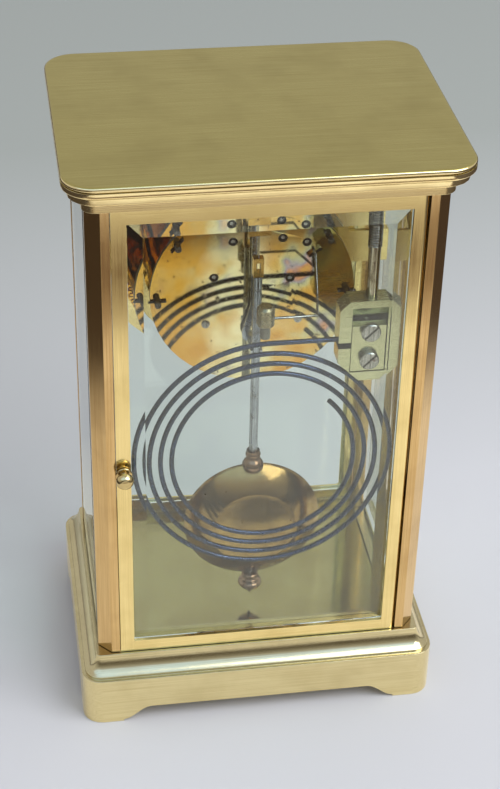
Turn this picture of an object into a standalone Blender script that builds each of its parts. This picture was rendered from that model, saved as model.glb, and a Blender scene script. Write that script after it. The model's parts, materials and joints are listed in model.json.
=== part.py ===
"""Four glass mantel clock: a brass case with bevelled glasses, a round eight day movement,
a gong on a block behind it and a pendulum with a turned bob.

Metres, +Z up, the origin at the middle of the base. The dial faces -Y and the gong +Y.
"""

import math

import bmesh
import bpy
from mathutils import Matrix

# Clearances and curve quality
gap = 0.0003
overrun = 0.002
running_fit = 0.00016
corner_steps = 5
turn_steps = 24
plate_steps = 48
small_steps = 20
pin_steps = 10
bob_steps = 36

# Plinth
plinth_width = 0.1560
plinth_depth = 0.1194
plinth_corner = 0.0085
plinth_face_top = 0.0241
plinth_top = 0.0335
plinth_step_inset = 0.0016
plinth_step_height = 0.0012
plinth_top_inset = 0.0068
plinth_wall = 0.0080
plinth_web = 0.0030
foot_flat = 0.0175
foot_length = 0.0295
foot_step = 0.0010
arch_height = 0.0074
ogee_steps = 8

# Mirror floor
floor_thickness = 0.0014
floor_drop = 0.0015
floor_half_width = 0.0600
floor_half_depth = 0.0462

# Pillars, in plan from the middle of the case
body_half_width = 0.0700
body_half_depth = 0.0517
pillar_inner = 0.0609
pillar_flat = 0.0645
chamfer_depth = 0.0060
glass_seat = 0.0423
lip_end = 0.0380
lip_thickness = 0.0037
pillar_height = 0.2168

# Cornice and lid
lid_width = 0.1566
lid_depth = 0.1197
lid_corner = 0.0127
lid_thickness = 0.0055
cornice_height = 0.0083
frieze_inset = 0.0072
frieze_height = 0.0036
cornice_fillet = 0.0012
cornice_top_inset = 0.0022
lid_groove = 0.0016
lid_round = 0.0014

# Side glasses
side_glass_thickness = 0.0050
side_glass_edge = 0.0030
bevel_width = 0.0058

# Doors
door_thickness = 0.0047
stile_width = 0.0059
rail_width = 0.0056
glass_rebate = 0.0013
door_lip = 0.0015
door_glass_rise = 0.0013
hinge_inset = 0.0020
hinge_pin_radius = 0.0008
hinge_pin_depth = 0.0030
hinge_pin_reach = 0.0034

# Door knob and latch, from the axis that they turn on
knob_height = 0.1300
knob_radius = 0.0036
knob_length = 0.0072
knob_flange_share = 0.9
knob_rim_share = 0.1
knob_shaft_radius = 0.0010
latch_thickness = 0.0020
latch_width = 0.0040
latch_length = 0.0063
latch_hub = 0.0020

# Movement plates and pillars
movement_height = 0.1880
plate_radius = 0.0423
plate_thickness = 0.0020
back_plate_rear = 0.0100
plate_space = 0.0280
post_radius = 0.0026
post_waist = 0.0019
post_end_radius = 0.0014
post_end_length = 0.0040
post_pin_radius = 0.0005
post_pin_length = 0.0075
post_pin_lean = math.radians(-40)
post_waist_shares = (0.1, 0.18, 0.82, 0.9)
post_circle = 0.0393
post_angles = (38, -2, 182, 142)
pivot_radius = 0.0008
pivot_depth_share = 0.8
sink_radius = 0.0020
sink_depth = 0.0007

# Places of the arbors, from the middle of the movement
barrel_x = 0.0193
barrel_z = -0.0140
third_x = 0.0160
third_z = 0.0080
escape_x = 0.0084
escape_z = 0.0242
pallet_z = 0.0320
pin_wheel_x = -0.0154
pin_wheel_z = 0.0058
fly_x = -0.0119
fly_z = 0.0247
hammer_x = -0.0219
hammer_z = 0.0222
slot_x = -0.0249
slot_z = 0.0179
slot_length = 0.0065
slot_width = 0.0030
minute_arbor_drop = 0.0110

# Wheels: layers along Y are measured from the inner face of the front plate
wheel_thickness = 0.0012
pinion_length = 0.0024
great_wheel_layer = 0.0014
drum_layer = 0.0032
drum_height = 0.0128
drum_radius = 0.0145
centre_layer = 0.0170
pin_wheel_layer = 0.0188
third_layer = 0.0208
escape_layer = 0.0236
arbor_radius = 0.0012
barrel_arbor_radius = 0.00165
winding_square = 0.0030
winding_reach = 0.0105
winding_square_share = 0.8
great_teeth = 36
centre_pinion_teeth = 12
centre_teeth = 48
third_pinion_teeth = 12
third_teeth = 40
escape_pinion_teeth = 10
escape_teeth = 18
strike_teeth = 32
strike_pinion_teeth = 8
pin_wheel_teeth = 32
fly_pinion_teeth = 16
cannon_teeth = 8
minute_teeth = 24
minute_pinion_teeth = 8
hour_teeth = 32
escape_radius = 0.0068
escape_back_share = 0.35
escape_toe_share = 0.9
escape_cross_share = 0.9
lifting_pins = 8
lifting_pin_circle = 0.0108
lifting_pin_radius = 0.0004
lifting_pin_length = 0.0012
fly_width = 0.0130
fly_height = 0.0110
fly_thickness = 0.0005
addendum_share = 0.60
dedendum_share = 1.15
tooth_root_share = 0.46
tooth_tip_share = 0.20
rim_share = 0.84
hub_share = 0.24
arm_share = 0.16

# Motion work and dial, forward of the front plate
minute_layer = 0.0009
hour_layer = 0.0034
cannon_radius = 0.0019
hour_pipe_inner = 0.0022
hour_pipe_outer = 0.0031
dial_radius = 0.0440
dial_thickness = 0.0018
dial_forward = 0.0078
dial_hole = 0.0042
winding_hole = 0.0033
bezel_outer = 0.0500
bezel_inner = 0.0418
bezel_depth = 0.0112
hour_hand_forward = 0.0118
minute_hand_forward = 0.0142
hand_thickness = 0.0007
hour_hand_length = 0.0240
minute_hand_length = 0.0350
hand_ring_share = 0.66
hand_ring_radius = 0.0026
hand_ring_width = 0.0008
hand_half_width = 0.0006
hand_steps = 8
hour_angle = -48
minute_angle = 62
centre_nose = 0.0164

# Carrier that hangs the movement from the front pillars
carrier_thickness = 0.0022
carrier_inner = 0.0340
carrier_outer = 0.0470
carrier_arm = 0.0150
carrier_foot = 0.0028

# Suspension and pendulum
pendulum_y = 0.0220
rod_radius = 0.0011
rod_top = 0.2035
rod_end = 0.0450
hook_width = 0.0042
hook_depth = 0.0034
hook_height = 0.0083
hook_slot_width = 0.0018
hook_slot_height = 0.0044
spring_width = 0.0030
spring_thickness = 0.00025
spring_top = 0.2262
cock_width = 0.0090
cock_bottom = 0.2229
cock_height = 0.0058
cock_reach = 0.0150
cock_foot_width = 0.0160
cock_foot_thickness = 0.0018
cock_slit = 0.0012
cock_slit_depth = 0.0036
cock_screw_radius = 0.0016
cock_screw_height = 0.0012
collar_radius = 0.00465
collar_bottom = 0.1037
collar_height = 0.0133
bob_radius = 0.0297
bob_centre = 0.0800
bob_flat = 0.0200
bob_half = 0.0080
bob_rim = 0.0010
finial_radius = 0.0053
finial_top = 0.0498
finial_height = 0.0128

# Crutch and pallets
crutch_y = 0.0118
crutch_thickness = 0.0012
crutch_collet = 0.0022
crutch_arm = 0.0024
crutch_pear_width = 0.0090
crutch_pear_top = 0.1830
crutch_pear_bottom = 0.1655
crutch_wall = 0.0024
crutch_collet_opening = 30
crutch_pear_opening = 12
crutch_hole_opening = 8
crutch_prong_gap = 0.0003
crutch_prong_thickness = 0.0011
crutch_prong_height = 0.0030
pallet_thickness = 0.0012
pallet_span = 0.0098
pallet_reach = 0.0052
pallet_arm = 0.0014

# Gong, its block and its rod
gong_x = -0.0025
gong_z = 0.1250
gong_radius = 0.0545
gong_pitch = 0.00465
gong_turns = 3.875
gong_wire = 0.00105
gong_y = 0.0360
gong_tilt = math.radians(3)
gong_points_per_turn = 24
gong_foot = 0.0430
block_left = -0.0538
block_right = -0.0302
block_bottom = 0.1624
block_top = 0.1999
block_front = 0.0330
block_rear = 0.0415
block_chamfer_shares = (0.17, 0.17, 0.26, 0.38)
pocket_left = -0.0498
pocket_right = -0.0352
pocket_bottom = 0.1636
pocket_top = 0.1968
wire_seat = 0.0002
clamp_gap = 0.0002
clamp_height_share = 0.717
screw_x = -0.0428
screw_rise = 0.0066
screw_head_radius = 0.0040
screw_head_height = 0.0024
screw_crown_shares = (0.9, 0.88)
screw_shank_radius = 0.0013
screw_shank_length = 0.0062
screw_slot = 0.0009
screw_slot_depth = 0.0012
screw_slot_lean = math.radians(45)
gong_rod_x = -0.0435
gong_rod_y = 0.0370
gong_rod_radius = 0.00245
gong_rod_seat = 0.0024
gong_nut_radius = 0.0046
gong_nut_height = 0.0044
nut_sides = 6

# Hammer
hammer_head_x = -0.0012
hammer_head_radius = 0.0036
hammer_head_height = 0.0092
hammer_tip_radius = 0.0021
hammer_tip_height = 0.0067
hammer_tip_seat = 0.0012
hammer_lift = 0.0020
hammer_wire = 0.0006
hammer_wire_share = 0.36
hammer_lever_layer = 0.0249
arm_bend_x = -0.0257
arm_bend_z = 0.0090
arm_elbow_x = -0.0222
tail_clearance = 0.0012

# Colours: linear red, green and blue, then roughness and metallic
finishes = {
    "lacquered_brass": ((0.62, 0.46, 0.20), 0.30, 1.0),
    "aged_brass": ((0.42, 0.29, 0.11), 0.34, 1.0),
    "plate_brass": ((0.66, 0.42, 0.13), 0.22, 1.0),
    "bevelled_glass": ((0.80, 0.92, 0.88), 0.02, 0.0),
    "blued_steel": ((0.035, 0.05, 0.09), 0.30, 1.0),
    "polished_steel": ((0.45, 0.45, 0.46), 0.25, 1.0),
    "white_enamel": ((0.86, 0.85, 0.80), 0.18, 0.0),
    "leather": ((0.23, 0.12, 0.05), 0.85, 0.0),
}


def clear_scene():
    for obj in list(bpy.data.objects):
        bpy.data.objects.remove(obj)


def new_collection(name):
    collection = bpy.data.collections.new(name)
    bpy.context.scene.collection.children.link(collection)
    return collection


def make_materials():
    made = {}
    for name, (colour, roughness, metallic) in finishes.items():
        material = bpy.data.materials.new(name)
        material.use_nodes = True
        shader = material.node_tree.nodes["Principled BSDF"]
        shader.inputs["Base Color"].default_value = (*colour, 1)
        shader.inputs["Roughness"].default_value = roughness
        shader.inputs["Metallic"].default_value = metallic
        made[name] = material
    made["bevelled_glass"].node_tree.nodes["Principled BSDF"].inputs["Transmission Weight"].default_value = 1
    return made


def part(name, mesh, finish, location=(0, 0, 0), tilt=0):
    """An object in the clock's collection, tilted about X and then placed."""
    obj = bpy.data.objects.new(name, mesh)
    clock.objects.link(obj)
    mesh.materials.append(materials[finish])
    mesh.shade_smooth()
    mesh.set_sharp_from_angle(angle=math.radians(35))
    obj.location = location
    obj.rotation_euler.x = tilt
    return obj


def helper(obj):
    """Takes an object out of the clock and makes it a cutter."""
    clock.objects.unlink(obj)
    cutters.objects.link(obj)
    obj.hide_render = True
    obj.display_type = "WIRE"
    return obj


def combine(target, other, operation):
    modifier = target.modifiers.new(operation.lower(), "BOOLEAN")
    modifier.operation = operation
    modifier.object = helper(other)
    return target


def cut(target, other):
    return combine(target, other, "DIFFERENCE")


def join(target, other):
    return combine(target, other, "UNION")


def mesh_of(shape, name):
    mesh = bpy.data.meshes.new(name)
    bmesh.ops.recalc_face_normals(shape, faces=shape.faces)
    shape.to_mesh(mesh)
    shape.free()
    return mesh


def box_mesh(name, low, high):
    shape = bmesh.new()
    middle = [(a + b) / 2 for a, b in zip(low, high)]
    size = [b - a for a, b in zip(low, high)]
    place = Matrix.LocRotScale(middle, None, size)
    bmesh.ops.create_cube(shape, size=1, matrix=place)
    return mesh_of(shape, name)


def rod_mesh(name, radius, length, steps=pin_steps):
    """A cylinder along Z that starts at zero."""
    shape = bmesh.new()
    place = Matrix.Translation((0, 0, length / 2))
    bmesh.ops.create_cone(
        shape, cap_ends=True, segments=steps, radius1=radius, radius2=radius, depth=length, matrix=place
    )
    return mesh_of(shape, name)


def rounded_ring(half_width, half_depth, radius, height):
    """The corners of a rounded rectangle, anticlockwise from the +X side."""
    ring = []
    for quarter in range(4):
        side_x = 1 if quarter in (0, 3) else -1
        side_y = 1 if quarter in (0, 1) else -1
        for step in range(corner_steps + 1):
            angle = math.pi / 2 * (quarter + step / corner_steps)
            x = side_x * (half_width - radius) + radius * math.cos(angle)
            y = side_y * (half_depth - radius) + radius * math.sin(angle)
            ring.append((x, y, height))
    return ring


def moulding_mesh(name, width, depth, radius, profile):
    """A block whose edge moulding runs round a rounded rectangle, as (inset, height) from the bottom."""
    shape = bmesh.new()
    least_radius = gap
    rings = []
    for inset, height in profile:
        corner = max(radius - inset, least_radius)
        ring = rounded_ring(width / 2 - inset, depth / 2 - inset, corner, height)
        rings.append([shape.verts.new(point) for point in ring])
    count = len(rings[0])
    for lower, upper in zip(rings, rings[1:]):
        for index in range(count):
            following = (index + 1) % count
            shape.faces.new((lower[index], lower[following], upper[following], upper[index]))
    shape.faces.new(list(reversed(rings[0])))
    shape.faces.new(rings[-1])
    return mesh_of(shape, name)


def bevelled_pane_mesh(name, width, height, edge, thickness, inset=0):
    """A glass that lies flat in XY, its bevel on the +Z side, with square corners."""
    shape = bmesh.new()
    levels = [(0, 0), (0, edge)]
    if inset:
        levels.append((inset, edge))
    levels.append((inset + bevel_width, thickness))
    rings = []
    for shift, level in levels:
        x = width / 2 - shift
        y = height / 2 - shift
        corners = ((x, y, level), (-x, y, level), (-x, -y, level), (x, -y, level))
        rings.append([shape.verts.new(point) for point in corners])
    for lower, upper in zip(rings, rings[1:]):
        for index in range(4):
            following = (index + 1) % 4
            shape.faces.new((lower[index], lower[following], upper[following], upper[index]))
    shape.faces.new(list(reversed(rings[0])))
    shape.faces.new(rings[-1])
    return mesh_of(shape, name)


def outline_mesh(name, outlines, thickness):
    """A flat outline with its holes, of a 2D curve, as thick as given about its own plane."""
    curve = bpy.data.curves.new(name, "CURVE")
    curve.dimensions = "2D"
    curve.fill_mode = "BOTH"
    curve.extrude = thickness / 2
    for outline in outlines:
        spline = curve.splines.new("POLY")
        spline.points.add(len(outline) - 1)
        for point, (x, y) in zip(spline.points, outline):
            point.co = (x, y, 0, 1)
        spline.use_cyclic_u = True
    return curve_to_mesh(name, curve)


def wire_mesh(name, points, radius, resolution=2):
    """A round wire along the points, with closed ends."""
    curve = bpy.data.curves.new(name, "CURVE")
    curve.dimensions = "3D"
    curve.bevel_depth = radius
    curve.bevel_resolution = resolution
    curve.use_fill_caps = True
    spline = curve.splines.new("POLY")
    spline.points.add(len(points) - 1)
    for point, place in zip(spline.points, points):
        point.co = (*place, 1)
    return curve_to_mesh(name, curve)


def curve_to_mesh(name, curve):
    guide = bpy.data.objects.new(name, curve)
    clock.objects.link(guide)
    bpy.context.view_layer.update()
    made = bpy.data.meshes.new_from_object(guide.evaluated_get(bpy.context.evaluated_depsgraph_get()))
    bpy.data.objects.remove(guide)
    shape = bmesh.new()
    shape.from_mesh(made)
    bpy.data.meshes.remove(made)
    bmesh.ops.remove_doubles(shape, verts=shape.verts, dist=gap / 100)
    return mesh_of(shape, name)


def turned(name, profile, finish, location=(0, 0, 0), tilt=0, steps=turn_steps, ring=False):
    """A turned piece of (radius, height) points that run down its outer side."""
    mesh = bpy.data.meshes.new(name)
    edges = [(index, index + 1) for index in range(len(profile) - 1)]
    if ring:
        edges.append((len(profile) - 1, 0))
    mesh.from_pydata([(radius, 0, height) for radius, height in profile], edges, [])
    obj = part(name, mesh, finish, location, tilt)
    screw = obj.modifiers.new("turn", "SCREW")
    screw.steps = steps
    screw.render_steps = steps
    screw.use_merge_vertices = True
    screw.merge_threshold = gap / 30
    return obj


def shares_profile(shares, radius, height, bottom=0):
    """Profile points from shares of a radius and a height."""
    return [(across * radius, bottom + up * height) for across, up in shares]


def arc(centre, radius, start, end, steps):
    """Points on an arc in a plane, from one angle to another in degrees."""
    points = []
    for step in range(steps + 1):
        angle = math.radians(start + (end - start) * step / steps)
        points.append((centre[0] + radius * math.cos(angle), centre[1] + radius * math.sin(angle)))
    return points


def circle(radius, steps=turn_steps, centre=(0, 0)):
    return arc(centre, radius, 0, 360 * (steps - 1) / steps, steps - 1)


upright = math.pi / 2
to_rear = -math.pi / 2


def gear_outline(teeth, pitch_radius, phase):
    """A wheel's outline with a tooth centred on the phase angle, in radians."""
    module = 2 * pitch_radius / teeth
    tip = pitch_radius + addendum_share * module
    root = pitch_radius - dedendum_share * module
    pitch_angle = 2 * math.pi / teeth
    points = []
    for tooth in range(teeth):
        middle = phase + tooth * pitch_angle
        flank = ((-tooth_root_share, root), (-tooth_tip_share, tip))
        corners = flank + tuple((-share, radius) for share, radius in reversed(flank))
        for share, radius in corners:
            angle = middle + share * pitch_angle / 2
            points.append((radius * math.cos(angle), radius * math.sin(angle)))
    return points


def crossing_outlines(pitch_radius, arms=5):
    """The openings between a wheel's arms."""
    outer = pitch_radius * rim_share
    inner = pitch_radius * hub_share
    half_arm = pitch_radius * arm_share / 2
    outlines = []
    for index in range(arms):
        start = 360 * index / arms
        end = 360 * (index + 1) / arms
        near = math.degrees(math.asin(half_arm / inner))
        far = math.degrees(math.asin(half_arm / outer))
        outlines.append(
            arc((0, 0), outer, start + far, end - far, 4) + arc((0, 0), inner, end - near, start + near, 1)
        )
    return outlines


def pitch_radii(distance, teeth_a, teeth_b):
    total = teeth_a + teeth_b
    return distance * teeth_a / total, distance * teeth_b / total


def mesh_phases(start, end, teeth_b):
    """Phases that put a tooth of the first wheel in a gap of the second on their line of centres."""
    line = math.atan2(end[1] - start[1], end[0] - start[0])
    return line, line + math.pi + math.pi / teeth_b


def gear(name, teeth, pitch_radius, phase, thickness, y, place, finish="plate_brass", crossed=False):
    outlines = [gear_outline(teeth, pitch_radius, phase)]
    if crossed:
        outlines += crossing_outlines(pitch_radius)
    mesh = outline_mesh(name, outlines, thickness)
    return part(name, mesh, finish, (place[0], y + thickness / 2, movement_height + place[1]), upright)


def arbor(name, place, start_y, length, radius=arbor_radius, finish="polished_steel"):
    """A rod along +Y from a start, at a place on the movement."""
    mesh = rod_mesh(name, radius, length)
    return part(name, mesh, finish, (place[0], start_y, movement_height + place[1]), to_rear)


# Levels that several pieces share
pillar_bottom = plinth_top + gap
cornice_bottom = pillar_bottom + pillar_height + gap
cornice_top = cornice_bottom + cornice_height
lid_bottom = cornice_top + gap
door_bottom = pillar_bottom
door_height = pillar_height
door_half = pillar_inner - gap
window_half = door_half - stile_width
window_bottom = door_bottom + rail_width
window_top = door_bottom + door_height - rail_width
hinge_x = -(door_half - hinge_inset)
hinge_y = body_half_depth - hinge_inset
knob_x = door_half - stile_width / 2
door_inner = body_half_depth - door_thickness
latch_rear = door_inner - gap
back_inner = back_plate_rear - plate_thickness
front_inner = back_inner - plate_space
front_outer = front_inner - plate_thickness
pivot_depth = plate_thickness * pivot_depth_share
pivot_span = (front_inner - pivot_depth, plate_space + 2 * pivot_depth)
dial_front = front_outer - dial_forward
centre_place = (0, 0)
going_place = (barrel_x, barrel_z)
strike_place = (-barrel_x, barrel_z)
third_place = (third_x, third_z)
escape_place = (escape_x, escape_z)
pin_wheel_place = (pin_wheel_x, pin_wheel_z)
fly_place = (fly_x, fly_z)
hammer_place = (hammer_x, hammer_z)
minute_place = (0, -minute_arbor_drop)
swing_height = movement_height + pallet_z


def foot_cutter(name, half_length, reach):
    """The arch between two feet of one face, an ogee at each end."""
    inner = half_length - foot_length
    outer = half_length - foot_flat
    rise = arch_height - foot_step
    curve = []
    for step in range(ogee_steps + 1):
        share = step / ogee_steps
        x = outer - (outer - inner) * share
        curve.append((x, foot_step + rise * (1 - math.cos(math.pi * share)) / 2))
    right = [(outer, -overrun)] + curve
    outline = right + [(-x, z) for x, z in reversed(right)]
    return outline_mesh(name, [outline], 2 * reach)


def make_plinth():
    steps = 6
    round_height = plinth_top - plinth_face_top - plinth_step_height
    round_width = plinth_top_inset - plinth_step_inset
    profile = [(0, 0), (0, plinth_face_top), (plinth_step_inset, plinth_face_top)]
    for step in range(steps + 1):
        angle = math.pi / 2 * step / steps
        inset = plinth_step_inset + round_width * (1 - math.cos(angle))
        profile.append((inset, plinth_face_top + plinth_step_height + round_height * math.sin(angle)))
    mesh = moulding_mesh("base_plinth", plinth_width, plinth_depth, plinth_corner, profile)
    plinth = part("base_plinth", mesh, "lacquered_brass")

    recess_floor = plinth_top - floor_drop - floor_thickness - gap
    recess_half = (floor_half_width + gap, floor_half_depth + gap)
    recess_low = (-recess_half[0], -recess_half[1], recess_floor)
    recess = box_mesh("recess", recess_low, (*recess_half, plinth_top + overrun))
    cut(plinth, part("floor_recess", recess, "lacquered_brass"))

    hollow_half = (plinth_width / 2 - plinth_wall, plinth_depth / 2 - plinth_wall)
    hollow_top = recess_floor - plinth_web
    hollow = box_mesh("hollow", (-hollow_half[0], -hollow_half[1], -overrun), (*hollow_half, hollow_top))
    cut(plinth, part("plinth_hollow", hollow, "lacquered_brass"))

    long_arch = foot_cutter("long_arch", plinth_width / 2, plinth_depth / 2 + overrun)
    cut(plinth, part("long_arch", long_arch, "lacquered_brass", tilt=upright))
    short_arch = foot_cutter("short_arch", plinth_depth / 2, plinth_width / 2 + overrun)
    short = part("short_arch", short_arch, "lacquered_brass", tilt=upright)
    short.rotation_euler.z = upright
    cut(plinth, short)

    socket_depth = hinge_pin_depth + gap
    for side in (1, -1):
        socket = rod_mesh("socket", hinge_pin_radius + running_fit, socket_depth + overrun)
        place = (side * hinge_x, side * hinge_y, plinth_top - socket_depth)
        cut(plinth, part("lower_socket", socket, "lacquered_brass", place))


def make_floor():
    top = plinth_top - floor_drop
    low = (-floor_half_width, -floor_half_depth, top - floor_thickness)
    part("floor_plate", box_mesh("floor_plate", low, (floor_half_width, floor_half_depth, top)), "aged_brass")


def make_pillars():
    """Four uprights with a chamfered outer corner, a seat for the side glass and a lip behind it."""
    lip_outer = pillar_inner + lip_thickness
    chamfer_start = body_half_depth - chamfer_depth
    corner = [
        (pillar_inner, body_half_depth),
        (pillar_flat, body_half_depth),
        (body_half_width, chamfer_start),
        (body_half_width, glass_seat),
        (lip_outer, glass_seat),
        (lip_outer, lip_end),
        (pillar_inner, lip_end),
    ]
    slot_low = knob_height - latch_length - gap
    slot_high = knob_height + latch_width / 2 + gap
    for end, side_y in (("front", -1), ("rear", 1)):
        for side, side_x in (("left", -1), ("right", 1)):
            name = f"pillar_{end}_{side}"
            outline = [(side_x * x, side_y * y) for x, y in corner]
            mesh = outline_mesh(name, [outline], pillar_height)
            pillar = part(name, mesh, "lacquered_brass", (0, 0, pillar_bottom + pillar_height / 2))
            if side_x != side_y:
                continue
            xs = sorted((side_x * (pillar_inner - overrun), side_x * (knob_x + latch_length + gap)))
            ys = sorted((side_y * (latch_rear - latch_thickness - gap), side_y * (latch_rear + gap)))
            slot = box_mesh("slot", (xs[0], ys[0], slot_low), (xs[1], ys[1], slot_high))
            cut(pillar, part(f"latch_slot_{end}", slot, "lacquered_brass"))


def make_cornice():
    top = cornice_bottom + cornice_height
    first = cornice_bottom + frieze_height
    upper_fillet = frieze_inset - cornice_fillet
    cove_top = top - 2 * cornice_fillet
    cove_inset = cornice_top_inset + cornice_fillet
    profile = [(frieze_inset, cornice_bottom), (frieze_inset, first), (upper_fillet, first)]
    steps = 4
    start = first + cornice_fillet / 2
    for step in range(steps + 1):
        angle = math.pi / 2 * step / steps
        inset = cove_inset + (upper_fillet - cove_inset) * math.cos(angle)
        profile.append((inset, start + (cove_top - start) * (1 - math.cos(angle))))
    profile += [(cornice_top_inset, cove_top), (cornice_top_inset, top)]
    mesh = moulding_mesh("cornice", lid_width, lid_depth, lid_corner, profile)
    cornice = part("cornice", mesh, "lacquered_brass")
    socket_depth = hinge_pin_depth + gap
    for side in (1, -1):
        socket = rod_mesh("socket", hinge_pin_radius + running_fit, socket_depth + overrun)
        place = (side * hinge_x, side * hinge_y, cornice_bottom - overrun)
        cut(cornice, part("upper_socket", socket, "lacquered_brass", place))


def make_lid():
    edge_low = lid_bottom + lid_groove / 2
    top = lid_bottom + lid_thickness
    profile = [(lid_groove, lid_bottom), (lid_groove / 4, edge_low), (0, edge_low + lid_groove / 4)]
    steps = 4
    for step in range(steps + 1):
        angle = math.pi / 2 * step / steps
        profile.append((lid_round * (1 - math.cos(angle)), top - lid_round * (1 - math.sin(angle))))
    mesh = moulding_mesh("lid_plate", lid_width, lid_depth, lid_corner, profile)
    part("lid_plate", mesh, "aged_brass")


def make_side_glasses():
    length = 2 * (glass_seat - gap)
    inner = pillar_inner + lip_thickness + gap
    for side, sign in (("left", -1), ("right", 1)):
        name = f"side_glass_{side}"
        mesh = bevelled_pane_mesh(name, pillar_height, length, side_glass_edge, side_glass_thickness)
        glass = part(name, mesh, "bevelled_glass", (sign * inner, 0, pillar_bottom + pillar_height / 2))
        glass.rotation_euler = (0, sign * upright, 0)


def make_door(end, turn):
    """A door at the rear, hinged at -X, with its glass, pins, knob and latch, turned to its own side."""
    middle = door_bottom + door_height / 2
    round_edge = arc((hinge_x, hinge_y), hinge_inset, 90, 180, 6)
    outline = round_edge + [(-door_half, door_inner), (door_half, door_inner), (door_half, body_half_depth)]
    frame_mesh = outline_mesh(f"{end}_door_frame", [outline], door_height)
    frame = part(f"{end}_door_frame", frame_mesh, "lacquered_brass", (0, 0, middle))
    helpers = []

    low = (-window_half, door_inner - overrun, window_bottom)
    high = (window_half, body_half_depth + overrun, window_top)
    helpers.append(part(f"{end}_window", box_mesh("window", low, high), "lacquered_brass"))
    low = (-window_half - glass_rebate, door_inner - overrun, window_bottom - glass_rebate)
    high = (window_half + glass_rebate, body_half_depth - door_lip, window_top + glass_rebate)
    helpers.append(part(f"{end}_rebate", box_mesh("rebate", low, high), "lacquered_brass"))
    shaft_hole = rod_mesh("shaft_hole", knob_shaft_radius + running_fit, door_thickness + 2 * overrun)
    place = (knob_x, door_inner - overrun, knob_height)
    helpers.append(part(f"{end}_shaft_hole", shaft_hole, "lacquered_brass", place, to_rear))
    pin_hole_depth = hinge_pin_reach + gap
    for base in (door_bottom - overrun, door_bottom + door_height - pin_hole_depth):
        pin_hole = rod_mesh("pin_hole", hinge_pin_radius + running_fit, pin_hole_depth + overrun)
        helpers.append(part(f"{end}_pin_hole", pin_hole, "lacquered_brass", (hinge_x, hinge_y, base)))
    for cutter in helpers:
        cut(frame, cutter)

    width = 2 * (window_half + glass_rebate - gap)
    height = window_top - window_bottom + 2 * (glass_rebate - gap)
    edge = door_thickness - door_lip - gap
    glass_name = f"{end}_door_glass"
    pane = bevelled_pane_mesh(glass_name, width, height, edge, edge + door_glass_rise, glass_rebate)
    glass = part(glass_name, pane, "bevelled_glass", (0, door_inner, middle), to_rear)

    pin_length = hinge_pin_depth + gap + hinge_pin_reach
    pins = []
    for level, base in (
        ("lower", plinth_top - hinge_pin_depth),
        ("upper", cornice_bottom + hinge_pin_depth - pin_length),
    ):
        pin = rod_mesh(f"{end}_hinge_pin", hinge_pin_radius, pin_length)
        pins.append(part(f"{end}_door_{level}_pin", pin, "polished_steel", (hinge_x, hinge_y, base)))

    knob, latch = make_knob(end)
    placed = [frame, glass, knob, latch] + pins + helpers
    for obj in placed:
        obj.matrix_basis = turn @ obj.matrix_basis
    hinge = pivot(f"{end}_door_hinge", turn @ Matrix.Translation((hinge_x, hinge_y, door_bottom)))
    spindle = pivot(f"{end}_knob_axis", turn @ Matrix.Translation((knob_x, body_half_depth, knob_height)))
    for obj in (frame, glass):
        hang(obj, hinge)
    for obj in (knob, latch):
        hang(obj, spindle)
    hang(spindle, hinge)


knob_shares = ((0, 1), (0.55, 0.97), (0.85, 0.84), (1, 0.66), (0.93, 0.5), (0.6, 0.38), (0.42, 0.26), (0.5, 0.16))


def make_knob(end):
    """A turned knob on a shaft through the stile, and the latch arm on the shaft's inner end."""
    head = shares_profile(knob_shares, knob_radius, knob_length, gap)
    flange = knob_radius * knob_flange_share
    shaft_end = -(door_thickness + gap + latch_thickness / 2)
    profile = head + [(flange, gap + knob_length * knob_rim_share), (flange, gap), (knob_shaft_radius, gap)]
    profile += [(knob_shaft_radius, shaft_end), (0, shaft_end)]
    place = (knob_x, body_half_depth, knob_height)
    knob = turned(f"{end}_door_knob", profile, "lacquered_brass", place, to_rear, pin_steps)
    half = latch_width / 2
    arm = arc((0, 0), latch_hub, 0, 180, 6) + [(-half, -latch_length), (half, -latch_length)]
    mesh = outline_mesh(f"{end}_door_latch", [arm], latch_thickness)
    place = (knob_x, latch_rear - latch_thickness / 2, knob_height)
    latch = part(f"{end}_door_latch", mesh, "lacquered_brass", place, upright)
    hole_depth = latch_thickness / 2 + gap
    hole = rod_mesh("latch_hole", knob_shaft_radius + gap / 3, hole_depth + overrun)
    place = (knob_x, latch_rear - hole_depth, knob_height)
    bore = part(f"{end}_latch_bore", hole, "lacquered_brass", place, to_rear)
    cut(latch, bore)
    hang(bore, latch)
    return knob, latch


def pivot(name, matrix):
    """An empty on a joint's axis."""
    empty = bpy.data.objects.new(name, None)
    empty.empty_display_size = gap * 10
    clock.objects.link(empty)
    empty.matrix_basis = matrix
    return empty


def hang(obj, parent):
    """Parents an object and leaves it where it is."""
    bpy.context.view_layer.update()
    obj.parent = parent
    obj.matrix_parent_inverse = parent.matrix_world.inverted()
    bpy.context.view_layer.update()


def post_places():
    places = []
    for angle in post_angles:
        turn = math.radians(angle)
        places.append((post_circle * math.cos(turn), post_circle * math.sin(turn)))
    return places


def stacks_mesh(name, stacks):
    """Closed forms through a stack of outlines: each stack is (outline, level) from one end to the other."""
    shape = bmesh.new()
    for stack in stacks:
        rings = [[shape.verts.new((*point, level)) for point in outline] for outline, level in stack]
        count = len(rings[0])
        for lower, upper in zip(rings, rings[1:]):
            for index in range(count):
                following = (index + 1) % count
                shape.faces.new((lower[index], lower[following], upper[following], upper[index]))
        shape.faces.new(list(reversed(rings[0])))
        shape.faces.new(rings[-1])
    return mesh_of(shape, name)


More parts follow.
